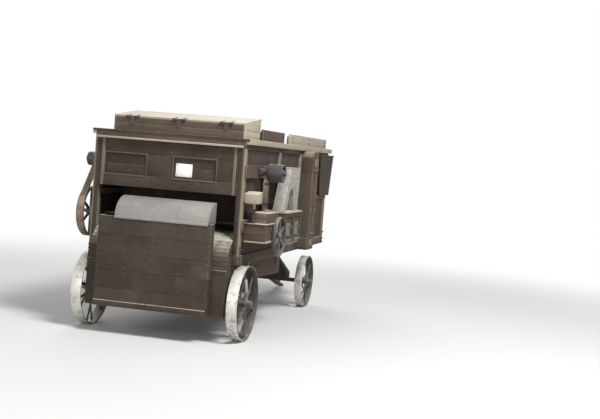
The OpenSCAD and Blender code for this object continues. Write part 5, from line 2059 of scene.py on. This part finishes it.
@dataclass
class Drawbar(Assembly):
    """The drawbar, whose pole slopes down from its hinge to the tow eye."""

    hinge: Span = (4.67, 0.52)
    slope: float = 16.157
    pole_end: float = 1.55
    eye_from: float = 0.0125
    nut: float = 0.327
    cheek: Point = (0.322, 0.013, 0.031)
    cheek_z: Span = (0.0402, 0.049)
    hoops: tuple[Span, ...] = ((0.90, 0.052), (1.16, 0.047))
    hoop_half: float = 0.02
    hoop_z: Span = (0.04, 0.045)
    hoop_side: float = 0.004
    bolts: Row = (1.27, 1.36, 1.45, 1.53)

    @property
    def ahead(self) -> Point:
        """The way that the pole runs, down to the tow eye."""
        a = math.radians(self.slope)
        return math.cos(a), 0.0, -math.sin(a)

    def point(self, along: float, above: float) -> Span:
        """A point of the pole, along it from the hinge and above its line, as x and z."""
        c, _, s = self.ahead
        return self.hinge[0] + along * c - above * s, self.hinge[1] + along * s + above * c

    def build(self) -> None:
        """Parts the drawbar's iron from its timber, and straps and bolts the pole."""
        shop = self.shop
        x, z = self.point(self.pole_end + self.eye_from, 0.0)
        back = tuple(-v for v in self.ahead)
        left, near = Joint((0, self.nut, 0), Side.RIGHT.way), Joint((0, -self.nut, 0), Side.LEFT.way)
        shop.dress("drawbar", Timber(Wood.BROWN, Axis.X), 0.004, cuts=[Joint((x, 0, z), back), left, near])
        for name, cut in (("eye", Joint((x, 0, z), self.ahead)),
                          ("nut_left", replace(left, normal=Side.LEFT.way)),
                          ("nut_right", replace(near, normal=Side.RIGHT.way))):
            piece = shop.dress("drawbar", IRON, 0.002, cuts=[cut], name=f"drawbar_{name}")
        behind, before, half = self.cheek
        (c0, c1), (h0, h1), reach = self.cheek_z, self.hoop_z, self.hoop_half
        straps = [self.strap((self.pole_end - behind, self.pole_end + before), half, span)
                  for span in ((-c1, -c0), (c0, c1))]
        for at, wide in self.hoops:
            xs = (at - reach, at + reach)
            straps += [self.strap(xs, wide, span) for span in ((-h1, -h0), (h0, h1))]
            straps += [self.strap(xs, self.hoop_side, (-h1, h1), y) for y in (-wide, wide)]
        shop.iron("drawbar_straps", straps, "drawbar")
        up = (-self.ahead[2], 0.0, self.ahead[0])
        tops = [self.point(along, c1) for along in self.bolts]
        shop.fix("drawbar_bolts", Fixing.BOLT, [((bx, 0.0, bz), up) for bx, bz in tops], "drawbar")

    def strap(self, along: Span, half: float, above: Span, y: float = 0.0) -> Board:
        """A flat strap on the pole.

        Args:
            along: where it starts and ends, from the hinge.
            half: half its width across.
            above: its underside and top, from the pole's line.
            y: its middle across.

        Returns:
            The strap, tilted with the drawbar.
        """
        x, z = self.point(sum(along) / 2, sum(above) / 2)
        dx, dz = (along[1] - along[0]) / 2, (above[1] - above[0]) / 2
        return Board((x - dx, y - half, z - dz), (x + dx, y + half, z + dz), turn=self.slope)


@dataclass
class Studio:
    """The camera at the photograph's angle, a pale floor and soft light."""

    width_px: float = 600.0
    focal_px: float = 1074.0
    sensor_mm: float = 36.0
    camera_at: Point = (-15.937, -4.805, 2.39)
    yaw: float = 13.25
    pitch: float = 2.72
    roll: float = 4.49
    far_clip: float = 500.0
    floor_size: float = 240.0
    floor_z: float = -0.0005
    floor_colour: Colour = (0.62, 0.62, 0.61)
    near: float = 5.0
    far: float = 12.0
    sky: float = 0.38
    aim: Point = (0.0, 0.0, 1.2)
    # Each lamp's name, place, watts and width: a high key on the right, a fill on the left, one behind
    lamps: tuple[tuple[str, Point, float, float], ...] = (
        ("key", (-7.0, -7.5, 12.5), 2500.0, 4.0),
        ("fill", (-16.0, 3.0, 4.5), 560.0, 7.0),
        ("back", (10.0, 5.0, 9.0), 800.0, 7.0),
    )

    def build(self) -> None:
        """Makes the camera, the floor, the lamps and the world."""
        self.camera()
        self.floor()
        self.light()
        self.world()

    def camera(self) -> None:
        """Sets the camera from the view's yaw to the left, pitch down and roll."""
        yaw, pitch, roll = (math.radians(a) for a in (self.yaw, self.pitch, self.roll))
        flat = Vector((math.cos(yaw), math.sin(yaw), 0.0))
        across = Vector((math.sin(yaw), -math.cos(yaw), 0.0))
        forward = flat * math.cos(pitch) - Vector((0.0, 0.0, math.sin(pitch)))
        up = across.cross(forward)
        side = across * math.cos(roll) + up * math.sin(roll)
        top = up * math.cos(roll) - across * math.sin(roll)
        data = bpy.data.cameras.new("photo_camera")
        data.sensor_width = self.sensor_mm
        data.lens = self.focal_px / self.width_px * self.sensor_mm
        data.clip_end = self.far_clip
        camera = bpy.data.objects.new("photo_camera", data)
        turn = Matrix((side, top, -forward)).transposed().to_4x4()
        camera.matrix_world = Matrix.Translation(self.camera_at) @ turn
        bpy.context.scene.collection.objects.link(camera)
        bpy.context.scene.camera = camera

    @staticmethod
    def seen(graph: Graph) -> Signal:
        """1 where the camera, gloss or glass sees a surface, and 0 where it only lights.

        Args:
            graph: the tree that asks.

        Returns:
            The signal.
        """
        rays = graph.node("ShaderNodeLightPath").outputs
        kinds = ("Is Camera Ray", "Is Glossy Ray", "Is Transmission Ray")
        camera, gloss, glass = (Signal(graph, rays[kind]) for kind in kinds)
        return (camera + gloss + glass).step(0.0, 1.0)

    def floor(self) -> None:
        """Lays the pale floor, which fades to white away from the machine."""
        Bench.clear()
        bpy.ops.mesh.primitive_plane_add(size=self.floor_size, location=(0, 0, self.floor_z))
        ground = bpy.context.active_object
        ground.name = "studio_floor"
        graph = Graph.of("studio_floor")
        length = graph.node("ShaderNodeVectorMath", {0: graph.coords()}, operation="LENGTH")
        away = Signal(graph, length.outputs["Value"]).step(self.near, self.far)
        matt = graph.node("ShaderNodeBsdfDiffuse", {"Color": self.floor_colour})
        white = graph.node("ShaderNodeEmission", {"Color": (1.0, 1.0, 1.0), "Strength": 1.0})
        shown = graph.node("ShaderNodeMixShader",
                           {0: away * self.seen(graph), 1: matt.outputs[0], 2: white.outputs[0]})
        graph.node("ShaderNodeOutputMaterial", {"Surface": shown.outputs[0]})
        ground.data.materials.append(graph.owner)

    def light(self) -> None:
        """Hangs the soft lamps, which all look at the machine's middle."""
        for name, at, power, size in self.lamps:
            data = bpy.data.lights.new(name, "AREA")
            data.energy = power
            data.size = size
            lamp = bpy.data.objects.new(name, data)
            lamp.location = at
            lamp.rotation_euler = (Vector(self.aim) - Vector(at)).to_track_quat("-Z", "Y").to_euler()
            bpy.context.scene.collection.objects.link(lamp)

    def world(self) -> None:
        """Sets an even sky that shows white to the camera, in gloss and through glass."""
        world = bpy.data.worlds.new("studio")
        bpy.context.scene.world = world
        graph = Graph(world)
        strength = self.seen(graph) * (1.0 - self.sky) + self.sky
        sky = graph.node("ShaderNodeBackground", {"Color": (1.0, 1.0, 1.0), "Strength": strength})
        graph.node("ShaderNodeOutputWorld", {"Surface": sky.outputs[0]})
        bpy.context.scene.view_settings.view_transform = "Standard"


def main() -> None:
    """Builds the studio and each sub-assembly in order."""
    logging.basicConfig(level=logging.INFO, format="%(name)s: %(message)s")
    Studio().build()
    shop = Shop()
    for assembly in (SideFrames, Walls, Deck, DrumEnd, Hood, FanEnd, DrumGear, RightBoxes, Elevator, StrawEnd,
                     Shoe, RunningGear):
        assembly(shop).build()
    Bench.clear()


if __name__ == "__main__":
    main()
